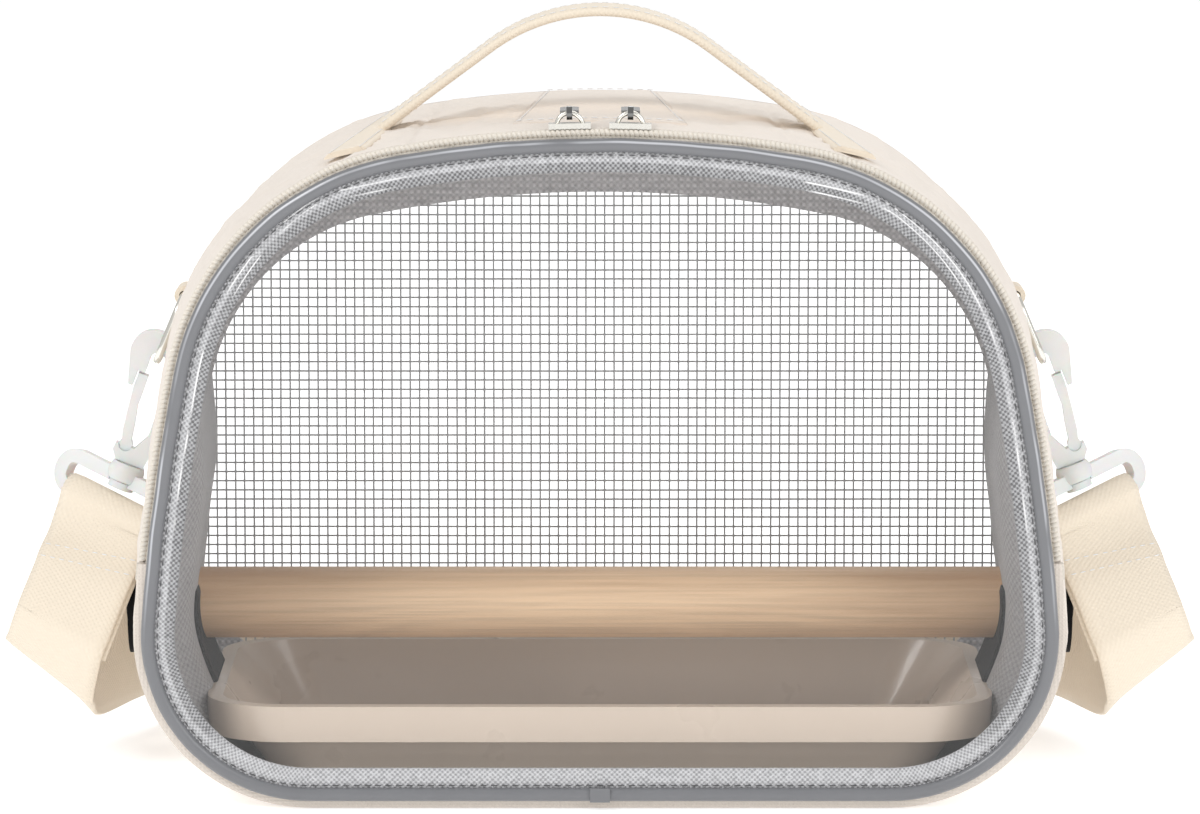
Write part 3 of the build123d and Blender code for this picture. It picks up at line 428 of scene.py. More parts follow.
def make_materials():
    """Every finish, by the piece or stuff it is for."""
    c = colours()
    MATERIALS.update({
        "cream": woven("cream canvas", c.cream, 0.0006, 0.00010, contrast=0.12),
        "cream_solid": woven("cream canvas on solids", c.cream, 0.0006, 0.00010, False, 0.12),
        "webbing": woven("cotton webbing", c.webbing, 0.0008, 0.00018, rows=1.4, contrast=0.12),
        "webbing_solid": woven("cotton webbing on solids", c.webbing, 0.001, 0.0002, False, 0.16),
        "lining": woven(
            "lining cloth", c.lining, 0.0013, 0.0003, contrast=0.5, rows=1.4, slubs=(2.0, 0.3, 1.0)
        ),
        # A lit copy of the lining cloth, painted lighter against the shade on the rear binding.
        "lining_painted_light": woven(
            "lining cloth on solids", shade(c.lining, 1.75), 0.0011, 0.0004, False, 0.7
        ),
        "border": border_weave("woven border"),
        "board": moulded("fibre board", (0.20, 0.19, 0.18), 0.8),
        "vinyl": shiny_vinyl("grey vinyl"),
        "clear": clear_sheet("clear vinyl"),
        "coil": yarn("zip coil", tuple(c.tape)),
        "tape": woven("zip tape", c.tape, 0.0007, 0.00015, False, 0.2),
        "thread_dark": yarn("dark thread", (0.10, 0.10, 0.105)),
        "thread_cream": yarn("cream thread", shade(c.webbing, 0.82)),
        "wire": wire_finish("coated wire"),
        # Dark chrome for the pulls: painted shade standing for the dark inside of the sliders.
        "chrome": scratched_metal(
            "chrome plate darkened as painted shade", (0.22, 0.22, 0.215), (0.12, 0.12, 0.12), 0.35, 0.16, 0.06
        ),
        "plated": scratched_metal(
            "bright plate", (0.80, 0.78, 0.72), (0.60, 0.59, 0.55), 0.3, 0.15, 0.16
        ),
        "brass": turned_brass("turned brass"),
        "wood": sanded_wood("sanded dowel"),
        "black": moulded(
            "black plastic", (0.012, 0.012, 0.013), 0.6, relief=0.00008, Specular_IOR_Level=0.04
        ),
        "tray": moulded("tray plastic", c.tray, 0.3, 500.0, 0.00003, coat=0.25),
        "frosted": moulded(
            "frosted plastic", c.frosted, 0.42, 1200.0, 0.00003,
            Transmission_Weight=0.25, Subsurface_Weight=0.35, Subsurface_Scale=0.004, IOR=1.45,
        ),
    })


def dress(node, material):
    """Give a carried-over node its finish."""
    target = NODES[node]
    target.data.materials.clear()
    target.data.materials.append(MATERIALS[material])


# ---------------------------------------------------------------- meshes
def shown(name, mesh, material=None):
    """An object in the scene with a mesh whose points are already in place."""
    made = bpy.data.objects.new(name, mesh)
    bpy.context.scene.collection.objects.link(made)
    if material:
        mesh.materials.append(MATERIALS[material])
    return made


def outward(mesh):
    """Point a closed mesh's faces outwards."""
    work = bmesh.new()
    work.from_mesh(mesh)
    bmesh.ops.recalc_face_normals(work, faces=work.faces)
    work.to_mesh(mesh)
    work.free()


def metres(points):
    """Points in millimetres as tuples in metres."""
    return [tuple(c * MM for c in p) for p in points]


def sheet_grid(name, rows, us, vs, material, wrap_u=False):
    """A piece from rows of points in millimetres, with UVs in metres.

    A row goes round the closed section, and rows follow each other along the piece. Its ends
    are joined when it wraps, and closed otherwise.
    """
    n_u, n_v = len(rows), len(rows[0])
    points = metres(p for row in rows for p in row)
    faces, corners = [], []
    for i in range(n_u if wrap_u else n_u - 1):
        for j in range(n_v):
            i2, j2 = (i + 1) % n_u, (j + 1) % n_v
            faces.append((i * n_v + j, i2 * n_v + j, i2 * n_v + j2, i * n_v + j2))
            near, far = vs[j], vs[j + 1]
            corners += [(us[i], near), (us[i + 1], near), (us[i + 1], far), (us[i], far)]
    for i in () if wrap_u else (0, n_u - 1):
        faces.append(tuple(i * n_v + j for j in range(n_v)))
        corners += [(us[i], vs[j]) for j in range(n_v)]
    mesh = bpy.data.meshes.new(name)
    mesh.from_pydata(points, [], faces)
    layer = mesh.uv_layers.new(name="UVMap")
    for loop, (u, v) in zip(layer.data, corners):
        loop.uv = (u * MM, v * MM)
    mesh.validate()
    outward(mesh)
    mesh.polygons.foreach_set("use_smooth", [len(p.vertices) == 4 for p in mesh.polygons])
    return shown(name, mesh, material)


def polar(centre, radius, angle):
    """Point at an angle in degrees round a centre."""
    a = math.radians(angle)
    return (centre[0] + radius * math.cos(a), centre[1] + radius * math.sin(a))


def bearing(start, end):
    """Angle in degrees from one point to another."""
    return math.degrees(math.atan2(end[1] - start[1], end[0] - start[0]))


class Outline:
    """A D of tangent arcs: flat bottom, corners, sides, shoulders and top."""

    def __init__(self, width, top, bottom, top_r, shoulder_r, side_r, side_z, corner_r):
        self.bottom = bottom
        self.top = (0.0, top - top_r)
        self.side = (width / 2 - side_r, side_z)
        a, b = top_r - shoulder_r, side_r - shoulder_r
        dx, dz = self.side[0] - self.top[0], self.side[1] - self.top[1]
        apart = math.hypot(dx, dz)
        along = (apart**2 + a**2 - b**2) / (2 * apart)
        lift = math.sqrt(a**2 - along**2)
        middle = (self.top[0] + along * dx / apart, self.top[1] + along * dz / apart)
        self.shoulder = max(
            (middle[0] + s * lift * dz / apart, middle[1] - s * lift * dx / apart) for s in (1, -1)
        )
        reach = math.sqrt((side_r - corner_r) ** 2 - (bottom + corner_r - side_z) ** 2)
        self.corner = (self.side[0] + reach, bottom + corner_r)
        low = bearing(self.side, self.corner)
        high = bearing(self.side, self.shoulder)
        turn = bearing(self.top, self.shoulder)
        self.arcs = [
            (self.corner, corner_r, -90.0, low), (self.side, side_r, low, high),
            (self.shoulder, shoulder_r, high, turn), (self.top, top_r, turn, 90.0),
        ]

    def stations(self, counts):
        """Points and outward directions, round from the middle of the bottom."""
        flat, *rest = counts
        half = [(self.corner[0] * i / flat, self.bottom, 0.0, -1.0) for i in range(flat)]
        for (centre, radius, start, end), count in zip(self.arcs, rest):
            for i in range(count):
                angle = start + (end - start) * i / count
                a = math.radians(angle)
                half.append((*polar(centre, radius, angle), math.cos(a), math.sin(a)))
        crown = (0.0, self.top[1] + self.arcs[3][1], 0.0, 1.0)
        back = [(-x, z, -nx, nz) for x, z, nx, nz in reversed(half[1:])]
        return [*half, crown, *back]


CABIN_TOP, TOP_RADIUS = 219.0, 375.0
CABIN = Outline(
    width=303.8, top=CABIN_TOP, bottom=0.0, top_r=TOP_RADIUS, shoulder_r=90.2,
    side_r=719.7, side_z=2.7, corner_r=56.3,
)
OPENING = Outline(
    width=276.6, top=184.2, bottom=16.0, top_r=390.0, shoulder_r=72.0,
    side_r=700.0, side_z=40.0, corner_r=46.0,
)
TOP_CENTRE = CABIN_TOP - TOP_RADIUS
CORNER_TOP = 60.8       # height at which the corner arcs of the cabin meet its sides
PERCH_HEIGHT = 54.7
FINE = (40, 28, 40, 50, 46)     # stations on the flat, corner, side, shoulder and top
Y_FRONT, Y_PIPING_BACK, Y_GUSSET, Y_PANEL, Y_REAR = -80.0, -76.0, -71.8, 78.4, 80.0
DEPTH = Y_PANEL - Y_GUSSET
PIPING_OUT, PIPING_IN, BORDER_IN = 2.6, 7.1, 13.4      # insets from the cabin's outline
FOLD = 79.5             # height of the front's fold line


def lengths(points):
    """Distance along a closed run of points, one longer than the run."""
    total = [0.0]
    for i, p in enumerate(points):
        q = points[(i + 1) % len(points)]
        total.append(total[-1] + math.dist(p, q))
    return total


def wobble(a, b, c=0.0):
    """Smooth noise from -1 to 1."""
    return noise.noise(Vector((a, b, c)))


def inset_point(x, z, nx, nz, inset, y):
    """A point at an inset from a station of an outline, at a depth."""
    return (x - inset * nx, y, z - inset * nz)


def swept(name, stations, section, material, place=inset_point):
    """A closed section of (inset, y) carried round an outline."""
    rows = [[place(*st, inset, y) for inset, y in section] for st in stations]
    return sheet_grid(
        name, rows, lengths([st[:2] for st in stations]), lengths(section), material, wrap_u=True
    )


def piping_section(y_start, y_end):
    """A rounded section between the piping's insets and two depths."""
    count, power = 14, 2.1
    middle, reach = (PIPING_OUT + PIPING_IN) / 2, (PIPING_IN - PIPING_OUT) / 2
    points = []
    for i in range(count):
        a = 2 * math.pi * i / count
        c, s = math.cos(a), math.sin(a)
        across = math.copysign(abs(c) ** (2 / power), c)
        deep = math.copysign(abs(s) ** (2 / power), s)
        points.append((
            middle + reach * across, (y_start + y_end) / 2 + (y_end - y_start) / 2 * deep
        ))
    return points


def line_mesh(name, points, ups, closed=False):
    """Edges in millimetres that a stitch row or a coil follows, with the surface's direction."""
    mesh = bpy.data.meshes.new(name)
    n = len(points)
    edges = [(i, (i + 1) % n) for i in range(n if closed else n - 1)]
    mesh.from_pydata(metres(points), edges, [])
    layer = mesh.attributes.new("up", "FLOAT_VECTOR", "POINT")
    for item, up in zip(layer.data, ups):
        item.vector = up
    return shown(name, mesh)


# ---------------------------------------------------------------- geometry nodes
class Tree:
    """A Geometry Nodes group with named inputs."""

    def __init__(self, name, inputs):
        self.group = bpy.data.node_groups.new(name, "GeometryNodeTree")
        face = self.group.interface
        face.new_socket("Geometry", in_out="INPUT", socket_type="NodeSocketGeometry")
        for label, kind in inputs.items():
            face.new_socket(label, in_out="INPUT", socket_type=kind)
        face.new_socket("Geometry", in_out="OUTPUT", socket_type="NodeSocketGeometry")
        self.start = self.group.nodes.new("NodeGroupInput").outputs
        self.end = self.group.nodes.new("NodeGroupOutput").inputs["Geometry"]

    def node(self, kind, settings=None, inputs=None, socket=0):
        """One output of a new node with its settings, and its sockets' values or links."""
        made = self.group.nodes.new(kind)
        for key, value in (settings or {}).items():
            setattr(made, key, value)
        for key, value in (inputs or {}).items():
            if isinstance(value, bpy.types.NodeSocket):
                self.group.links.new(value, made.inputs[key])
            else:
                made.inputs[key].default_value = value
        return made.outputs[socket]

    def finish(self, geometry):
        """Real geometry, smooth, with the given material."""
        smooth = self.node("GeometryNodeSetShadeSmooth", None, {"Geometry": geometry})
        painted = self.node(
            "GeometryNodeSetMaterial", None,
            {"Geometry": smooth, "Material": self.start["Material"]},
        )
        self.group.links.new(painted, self.end)


def bead_tree():
    """Rounded beads along a line: stitches, or the turns of a zip coil."""
    tree = Tree("beads along a line", {
        "Pitch": "NodeSocketFloat", "Size": "NodeSocketVector", "Slant": "NodeSocketFloat",
        "Axis": "NodeSocketVector", "Material": "NodeSocketMaterial",
    })
    curve = tree.node("GeometryNodeMeshToCurve", None, {"Mesh": tree.start["Geometry"]})
    even = tree.node(
        "GeometryNodeResampleCurve", {"mode": "LENGTH"},
        {"Curve": curve, "Length": tree.start["Pitch"]},
    )
    tangent = tree.node("GeometryNodeInputTangent")
    up = tree.node(
        "GeometryNodeInputNamedAttribute", {"data_type": "FLOAT_VECTOR"}, {"Name": "up"}
    )
    along = tree.node("FunctionNodeAlignRotationToVector", {"axis": "X"}, {"Vector": tangent})
    stood = tree.node(
        "FunctionNodeAlignRotationToVector", {"axis": "Z", "pivot_axis": "X"},
        {"Rotation": along, "Vector": up},
    )
    slant = tree.node(
        "FunctionNodeAxisAngleToRotation", None,
        {"Axis": tree.start["Axis"], "Angle": tree.start["Slant"]},
    )
    turned = tree.node(
        "FunctionNodeRotateRotation", {"rotation_space": "LOCAL"},
        {"Rotation": stood, "Rotate By": slant},
    )
    bead = tree.node("GeometryNodeMeshUVSphere", None, {"Segments": 8, "Rings": 5, "Radius": 0.5})
    copies = tree.node(
        "GeometryNodeInstanceOnPoints", None,
        {"Points": even, "Instance": bead, "Rotation": turned, "Scale": tree.start["Size"]},
    )
    tree.finish(tree.node("GeometryNodeRealizeInstances", None, {"Geometry": copies}))
    return tree.group


def wire_tree():
    """Round wire along every line."""
    tree = Tree("wires", {"Diameter": "NodeSocketFloat", "Material": "NodeSocketMaterial"})
    radius = tree.node(
        "ShaderNodeMath", {"operation": "MULTIPLY"}, {0: tree.start["Diameter"], 1: 0.5}
    )
    curve = tree.node("GeometryNodeMeshToCurve", None, {"Mesh": tree.start["Geometry"]})
    ring = tree.node(
        "GeometryNodeCurvePrimitiveCircle", {"mode": "RADIUS"}, {"Resolution": 6, "Radius": radius}
    )
    tube = tree.node(
        "GeometryNodeCurveToMesh", None,
        {"Curve": curve, "Profile Curve": ring, "Fill Caps": True},
    )
    tree.finish(tree.node("GeometryNodeRealizeInstances", None, {"Geometry": tube}))
    return tree.group


def grow(guide, tree, name, values):
    """Run a tree on a guide and keep its result as a plain mesh."""
    modifier = guide.modifiers.new("grow", "NODES")
    modifier.node_group = tree
    for item in tree.interface.items_tree:
        if item.in_out == "INPUT" and item.name in values:
            modifier[item.identifier] = values[item.name]
    graph = bpy.context.evaluated_depsgraph_get()
    mesh = bpy.data.meshes.new_from_object(guide.evaluated_get(graph))
    mesh.name = name
    guide.modifiers.clear()
    bpy.data.objects.remove(guide)
    made = shown(name, mesh)
    outward(mesh)
    return made


def stitch_row(name, points, ups, thread, closed=False, pitch=None, size=None, slant=0.0,
               axis=(0.0, 0.0, 1.0)):
    """A sewn row along points in millimetres."""
    s = sizes()
    return grow(line_mesh(name + "_line", points, ups, closed), TREES["beads"], name, {
        "Pitch": pitch or s.stitch_pitch,
        "Size": size or (s.stitch_length, s.thread, s.thread * 0.8),
        "Slant": slant,
        "Axis": axis,
        "Material": MATERIALS[thread],
    })


def joined(name, pieces):
    """One object from several."""
    work = bmesh.new()
    slots = []
    for piece in pieces:
        for material in piece.data.materials:
            if material not in slots:
                slots.append(material)
    for piece in pieces:
        offset = slots.index(piece.data.materials[0])
        before = len(work.faces)
        work.from_mesh(piece.data)
        work.faces.ensure_lookup_table()
        for face in work.faces[before:]:
            face.material_index = offset
    mesh = bpy.data.meshes.new(name)
    work.to_mesh(mesh)
    work.free()
    for material in slots:
        mesh.materials.append(material)
    for piece in pieces:
        bpy.data.objects.remove(piece)
    return shown(name, mesh)


TREES = {}


def fold_with_door(piece):
    """Bake the piece's placement into its mesh."""
    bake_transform(piece)


def ease(value, low, high):
    """Smoothstep."""
    t = max(0.0, min(1.0, (value - low) / (high - low)))
    return t * t * (3 - 2 * t)


# ---------------------------------------------------------------- cabin
DENT = dict(x=147.85, y=-8.0, z=93.0, depth=11.8, radius=30.0)    # where the strap's loops press
SEAM_FRONT, SEAM_REAR = 62.0, 54.0        # seams of the top, from the middle
CLOTH_THICKNESS, LINING_INSET = 2.4, 3.9


def depth_lengths(row):
    """Distance along a row of points, counted in depth alone."""
    return lengths([(y,) for _, y, _ in row])


def skin_swell(x, z, nx, s, y):
    """How far the gusset's cloth stands out from its plain outline, in millimetres."""
    size = sizes()
    share = (y - Y_GUSSET) / DEPTH
    edge = ease(min(y - Y_GUSSET, Y_PANEL - y), 0.0, 7.0)
    # The sides swell, but not round the screws of the perch.
    side = ease(abs(nx), 0.55, 0.95) * ease(z, 4.0, 26.0)
    knob = math.hypot(y, z - PERCH_HEIGHT)
    swell = size.bulge / MM * side * 4 * share * (1 - share) * ease(knob, 9.5, 14.0)
    # Creases of several sizes, most of them on the top.
    crinkle = size.crinkle / MM * edge * ease(z, 0.0, 6.0)
    swell += crinkle * (wobble(s / 16, y / 34) + 0.7 * wobble(s / 6.5, y / 15, 3.0))
    top = ease(z, 150.0, 185.0)
    swell += crinkle * top * (1.5 * wobble(s / 9, y / 9, 7.0) + 0.8 * wobble(s / 4, y / 5, 9.0))
    # Seams of the top: a groove, with puckers beside it.
    seam = abs(abs(x) - (SEAM_FRONT + (SEAM_REAR - SEAM_FRONT) * share))
    pucker = 0.4 * math.sin(y * 1.05) * math.exp(-((seam - 3.0) / 3.0) ** 2)
    swell += top * edge * (pucker - 1.0 * math.exp(-((seam / 1.1) ** 2)))
    return swell


def pressed_in(x, y, z, layer):
    """A point's x, kept out of the hollow that a strap loop presses into the side."""
    rim = 1.2
    gap = DENT["radius"] ** 2 - (y - DENT["y"]) ** 2 - (z - DENT["z"]) ** 2
    if gap <= 0:
        return x
    limit = DENT["x"] - DENT["depth"] + DENT["radius"] - math.sqrt(gap) - layer * 0.9
    over = abs(x) - limit
    if over <= -5 * rim:
        return x
    return math.copysign(abs(x) - rim * math.log1p(math.exp(min(30.0, over / rim))), x)


def cabin_cloth():
    """Outer cloth of the gusset, with its hidden inner face."""
    spans = 58
    stations = CABIN.stations(FINE)
    along = lengths([st[:2] for st in stations])
    depths = [Y_GUSSET + DEPTH * i / spans for i in range(spans + 1)]
    rows = []
    for (x, z, nx, nz), s in zip(stations, along):
        row = []
        for layer, ys in ((0.0, depths), (CLOTH_THICKNESS, depths[::-3])):
            for y in ys:
                out = skin_swell(x, z, nx, s, y)
                if layer:
                    out = min(out, 0.0) - layer
                height = max(z + nz * out, layer)
                row.append((pressed_in(x + nx * out, y, height, layer), y, height))
        rows.append(row)
    made = sheet_grid("gusset_cloth", rows, along, depth_lengths(rows[0]), "cream", wrap_u=True)
    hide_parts("gusset_shell")
    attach(made, "cabin")


def side_pad(z, y):
    """How far the lining is pressed in at the sides, in millimetres."""
    deep = ease(y, -76.0, -30.0) * (1.0 - ease(y, 28.0, 74.0))
    return 12.4 * deep * ease(z, 4.0, 22.0) * (1.0 - ease(z, 95.0, 165.0))


def lining_cloth():
    """Grey cloth inside the gusset, swollen at the sides by the padding behind it."""
    spans, end_gap, back_inset = 44, 0.2, 3.1
    stations = CABIN.stations(FINE)
    along = lengths([st[:2] for st in stations])
    reach = DEPTH - 2 * end_gap
    depths = [Y_GUSSET + end_gap + reach * i / spans for i in range(spans + 1)]
    rows = []
    for (x, z, nx, nz), s in zip(stations, along):
        side = math.copysign(ease(abs(nx), 0.35, 0.9), x)
        row = []
        for y in depths:
            crease = 0.5 * wobble(s / 14, y / 22, 40.0) * ease(z, 8.0, 20.0)
            inset = LINING_INSET + max(-0.4, crease)
            row.append((x - inset * nx - side * side_pad(z, y), y, z - inset * nz))
        for y in depths[::-2]:
            across = x - back_inset * nx - side * side_pad(z, y)
            row.append((across, y, z - back_inset * nz))
        rows.append(row)
    made = sheet_grid("lining_cloth", rows, along, depth_lengths(rows[0]), "lining", wrap_u=True)
    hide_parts("gusset_lining")
    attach(made, "cabin")


def lining_x(z, y):
    """Distance of the swollen lining from the middle, at a side."""
    centre, radius = CABIN.arcs[0 if z < CORNER_TOP else 1][:2]
    radius -= LINING_INSET
    run = math.sqrt(radius**2 - (z - centre[1]) ** 2)
    return centre[0] + run - ease(run / radius, 0.35, 0.9) * side_pad(z, y)


def wall_patches():
    """Black patches on the lining, round the ends of the perch."""
    low, high, half = 20.0, 62.0, 23.0
    pieces = []
    for side in (-1, 1):
        rows, heights = [], [low + (high - low) * i / 21 for i in range(22)]
        for z in heights:
            row = []
            for k in range(24):
                y = -half + 2 * half * k / 23
                rim = ease(min(z - low, high - z, y + half, half - y), -0.5, 1.5)
                row.append((side * (lining_x(z, y) - 0.3 - 0.9 * rim), y, z))
            for k in (23, 18, 12, 6, 0):
                y = -half + 2 * half * k / 23
                row.append((side * (lining_x(z, y) + 0.8), y, z))
            rows.append(row)
        pieces.append(sheet_grid("patch", rows, heights, lengths(rows[0]), "black"))
    made = joined("wall_patch_cloth", pieces)
    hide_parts("wall_patches")
    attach(made, "cabin")


def rear_border():
    """Cloth border between the cabin's outline and the opening of the back, a little padded."""
    steps, puff, y_back = (20, 16, 24, 30, 24), 0.3, Y_REAR - 0.3
    outer, inner = CABIN.stations(steps), OPENING.stations(steps)
    rows = []
    for (x1, z1, nx, nz), (x2, z2, _, _) in zip(outer, inner):
        rim, hem = Vector((x1 - 0.6 * nx, z1 - 0.6 * nz)), Vector((x2, z2))
        row = []
        for t in (0.0, 0.08, 0.25, 0.5, 0.75, 0.92, 1.0):
            x, z = rim.lerp(hem, t)
            row.append((x, y_back + puff * math.sin(math.pi * t) ** 0.6, z))
        for t in (1.0, 0.5, 0.0):
            x, z = rim.lerp(hem, t)
            row.append((x, Y_PANEL, z))
        rows.append(row)
    along = lengths([st[:2] for st in outer])
    made = sheet_grid("rear_border", rows, along, lengths(rows[0]), "cream", wrap_u=True)
    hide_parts("rear_panel")
    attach(made, "cabin")


def rear_stitches():
    """Two rows of stitches round the opening of the back, and one inside the cabin's edge."""
    rows = []
    for inset, outline in ((-2.5, OPENING), (-5.2, OPENING), (4.5, CABIN)):
        points = [inset_point(*st, inset, Y_REAR + 0.05) for st in outline.stations(FINE)]
        ups = [(0, 1, 0)] * len(points)
        rows.append(stitch_row("row", points, ups, "thread_cream", closed=True))
    made = joined("rear_stitches", rows)
    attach(made, "cabin")


def crossings(ring, axis, at):
    """Where a straight line at one value of an axis crosses a ring of points, in order."""
    hits = []
    for p, q in zip(ring, ring[1:] + ring[:1]):
        if (p[axis] - at) * (q[axis] - at) < 0:
            t = (at - p[axis]) / (q[axis] - p[axis])
            hits.append(p[1 - axis] + t * (q[1 - axis] - p[1 - axis]))
    return sorted(hits)


def wire_mesh():
    """Crossing wires behind the opening of the back, each bowed a little."""
    overlap, shortest, bow_limit = 4.5, 6.0, 0.16
    s = sizes()
    pitch = s.wire_pitch / MM
    ring = [(x + overlap * nx, z + overlap * nz) for x, z, nx, nz in OPENING.stations(FINE)]
    draw = random.Random(11)
    points, edges = [], []
    for axis, y in ((0, Y_PANEL - 0.54), (1, Y_PANEL - 0.10)):
        low, high = min(p[axis] for p in ring), max(p[axis] for p in ring)
        for k in range(math.floor(low / pitch), math.ceil(high / pitch)):
            at = (k + 0.5) * pitch
            ends = crossings(ring, axis, at)
            if len(ends) != 2 or ends[1] - ends[0] < shortest:
                continue
            bowed = at + draw.uniform(-bow_limit, bow_limit)
            start = len(points)
            for a, b in ((at, ends[0]), (bowed, sum(ends) / 2), (at, ends[1])):
                points.append((a, y, b) if axis == 0 else (b, y, a))
            edges += [(start, start + 1), (start + 1, start + 2)]
    mesh = bpy.data.meshes.new("wire_lines")
    mesh.from_pydata(metres(points), edges, [])
    wires = grow(shown("wire_lines", mesh), TREES["wires"], "wire_mesh", {
        "Diameter": s.wire_diameter, "Material": MATERIALS["wire"],
    })
    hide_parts("rear_mesh")
    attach(wires, "cabin")


# ---------------------------------------------------------------- front
def clear_front():
    """The clear sheet from sill to top, in rows that reach from side to side."""
    inset, columns = PIPING_OUT + 1.5, 72
    top = CABIN_TOP - inset
    right = []
    for station in CABIN.stations(FINE)[FINE[0]:]:
        reach, _, z = inset_point(*station, inset, 0.0)
        if reach <= 0.5:
            break
        right.append((reach, z))
    ripple = sizes().ripple / MM
    faces, points, insets = [], [], []
    for y in (Y_FRONT + 1.2, Y_FRONT + 1.7):
        for reach, z in right:
            for j in range(columns + 1):
                u = -1 + 2 * j / columns
                x = reach * u
                rim = max(abs(u) ** 3, ease(z, 165, 210), ease(40 - z, 5, 35))
                sway = wobble(x / 46, z / 40) + 0.5 * wobble(x / 17, z / 20, 5.0)
                edge = min(ease(reach - abs(x), 2, 14), ease(z, 5, 18), ease(top - z, 2, 10))
                points.append((x, y + ripple * sway * (0.3 + rim) * edge, z))
                from_top = TOP_RADIUS - math.hypot(x, z - TOP_CENTRE)
                insets.append(min(reach - abs(x) + inset, z, from_top))
        points.append((0.0, y, top))
        insets.append(inset)
    stride = columns + 1
    layer = len(right) * stride + 1
    last = (len(right) - 1) * stride
    for base in (0, layer):
        for i in range(len(right) - 1):
            for j in range(columns):
                a = base + i * stride + j
                faces.append((a, a + 1, a + stride + 1, a + stride))
        crown = base + layer - 1
        faces += [(base + last + j, base + last + j + 1, crown) for j in range(columns)]
    rim_ids = list(range(stride))
    rim_ids += [i * stride + columns for i in range(1, len(right))] + [layer - 1]
    rim_ids += [i * stride for i in range(len(right) - 1, 0, -1)]
    for a, b in zip(rim_ids, rim_ids[1:] + rim_ids[:1]):
        faces.append((a, b, b + layer, a + layer))
    mesh = bpy.data.meshes.new("clear_front")
    mesh.from_pydata(metres(points), [], faces)
    mesh.attributes.new("inset", "FLOAT", "POINT").data.foreach_set("value", insets)
    outward(mesh)
    mesh.polygons.foreach_set("use_smooth", [True] * len(mesh.polygons))
    made = shown("clear_front", mesh, "clear")
    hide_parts("door_window", "sill_window")
    fold_with_door(made)


def front_piping(stations):
    """Rounded vinyl piping, a little uneven along its run."""
    along = lengths([st[:2] for st in stations])
    run = dict(zip(stations, along))

    def puckered(x, z, nx, nz, inset, y):
        """A point of the piping's section, moved by its waves."""
        s = run[(x, z, nx, nz)]
        inset += 0.18 * wobble(s / 13, 0.0) * ease(z, 0.0, 8.0)
        return inset_point(x, z, nx, nz, inset, y + 0.12 * wobble(s / 9, 4.0))

    section = piping_section(Y_FRONT, Y_PIPING_BACK - 0.1)
    made = swept("front_piping", stations, section, "vinyl", puckered)
    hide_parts("door_piping", "sill_piping")
    fold_with_door(made)


def woven_border(stations):
    """Woven border under the clear sheet, inside the piping."""
    y = Y_FRONT + 1.75
    start = PIPING_IN - 0.5
    section = [
        (start, y), (9.2, y - 0.02), (11.4, y), (BORDER_IN, y + 0.1),
        (BORDER_IN, y + 0.8), (start, y + 0.9),
    ]
    made = swept("woven_border", stations, section, "border")
    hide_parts("door_binding", "sill_binding")
    fold_with_door(made)


def piping_stitches(stations):
    """Dark stitches beside the piping."""
    points = [inset_point(*st, PIPING_IN + 0.75, Y_FRONT + 1.1) for st in stations]
    made = stitch_row(
        "piping_stitches", points, [(0, -1, 0)] * len(points), "thread_dark", closed=True,
        size=(0.0024, 0.0005, 0.0004),
    )
    fold_with_door(made)


def front_trim():
    """Piping, woven border and dark stitches round the clear sheet."""
    stations = CABIN.stations(FINE)
    front_piping(stations)
    woven_border(stations)
    piping_stitches(stations)
    dress("piping_sleeve", "vinyl")


def zip_fastener():
    """Coils, tape, sliders and pulls."""
    pitch = sizes().coil_pitch
    over = [st for st in CABIN.stations(FINE) if st[1] > FOLD + 1.2]
    start = next(i for i, st in enumerate(over) if st[0] > 0)
    run = over[start:]
    ups = [(nx, 0, nz) for _, _, nx, nz in run]
    for name, node, body, y, slant in (
        ("zip_coil_front", "door_zip_coil", "door", -75.1, 0.6),
        ("zip_coil_rear", "gusset_zip_coil", "cabin", -72.8, -0.6),
    ):
        points = [inset_point(*st, 1.1, y) for st in run]
        coil = stitch_row(
            name, points, ups, "coil", pitch=pitch, size=(0.0019, 0.0021, 0.0029),
            slant=slant, axis=(0.0, 0.8, 0.6),
        )
        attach(coil, body)
        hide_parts(node)
    for node in ("door_zip_tape", "zip_stops"):
        dress(node, "tape")
    for side in ("left", "right"):
        dress("zip_slider_" + side, "plated")
        # The pulls' dark chrome is painted shade for the sliders' dark inside.
        dress("zip_pull_" + side, "chrome")


# ---------------------------------------------------------------- webbing
def catmull(points, per_span):
    """Smooth run through points, with a few steps in each span."""
    run = []
    for i in range(len(points) - 1):
        p0, p1 = points[max(i - 1, 0)], points[i]
        p2, p3 = points[i + 1], points[min(i + 2, len(points) - 1)]
        for k in range(per_span):
            t = k / per_span
            run.append(0.5 * (
                2 * p1 + (p2 - p0) * t + (2 * p0 - 5 * p1 + 4 * p2 - p3) * t * t
                + (3 * p1 - p0 - 3 * p2 + p3) * t**3
            ))
    run.append(points[-1])
    return run


def mirrored(run):
    """A run of vectors on the other side, in the other direction."""
    return [Vector((-v.x, v.y, v.z)) for v in reversed(run)]


def ribbon(name, centres, sides, width, thickness, material):
    """A flat strap along its centres, with the frame (centre, side, up) at each row."""
    half, edge = width / 2, thickness / 2
    lower = [(-half, 0.0), (-half + 0.35 * edge, -0.75 * edge)]
    lower += [(-half + width * k / 10, -edge) for k in range(1, 10)]
    lower += [(half - 0.35 * edge, -0.75 * edge)]
    shape = lower + [(-across, -out) for across, out in lower]
    rows, frames = [], []
    for i, (centre, side) in enumerate(zip(centres, sides)):
        ahead = centres[min(i + 1, len(centres) - 1)] - centres[max(i - 1, 0)]
        ahead.normalize()
        side = (side - ahead * side.dot(ahead)).normalized()
        up = ahead.cross(side)
        frames.append((centre, side, up))
        rows.append([centre + side * across + up * out for across, out in shape])
    return sheet_grid(name, rows, lengths(centres), lengths(shape), material), frames


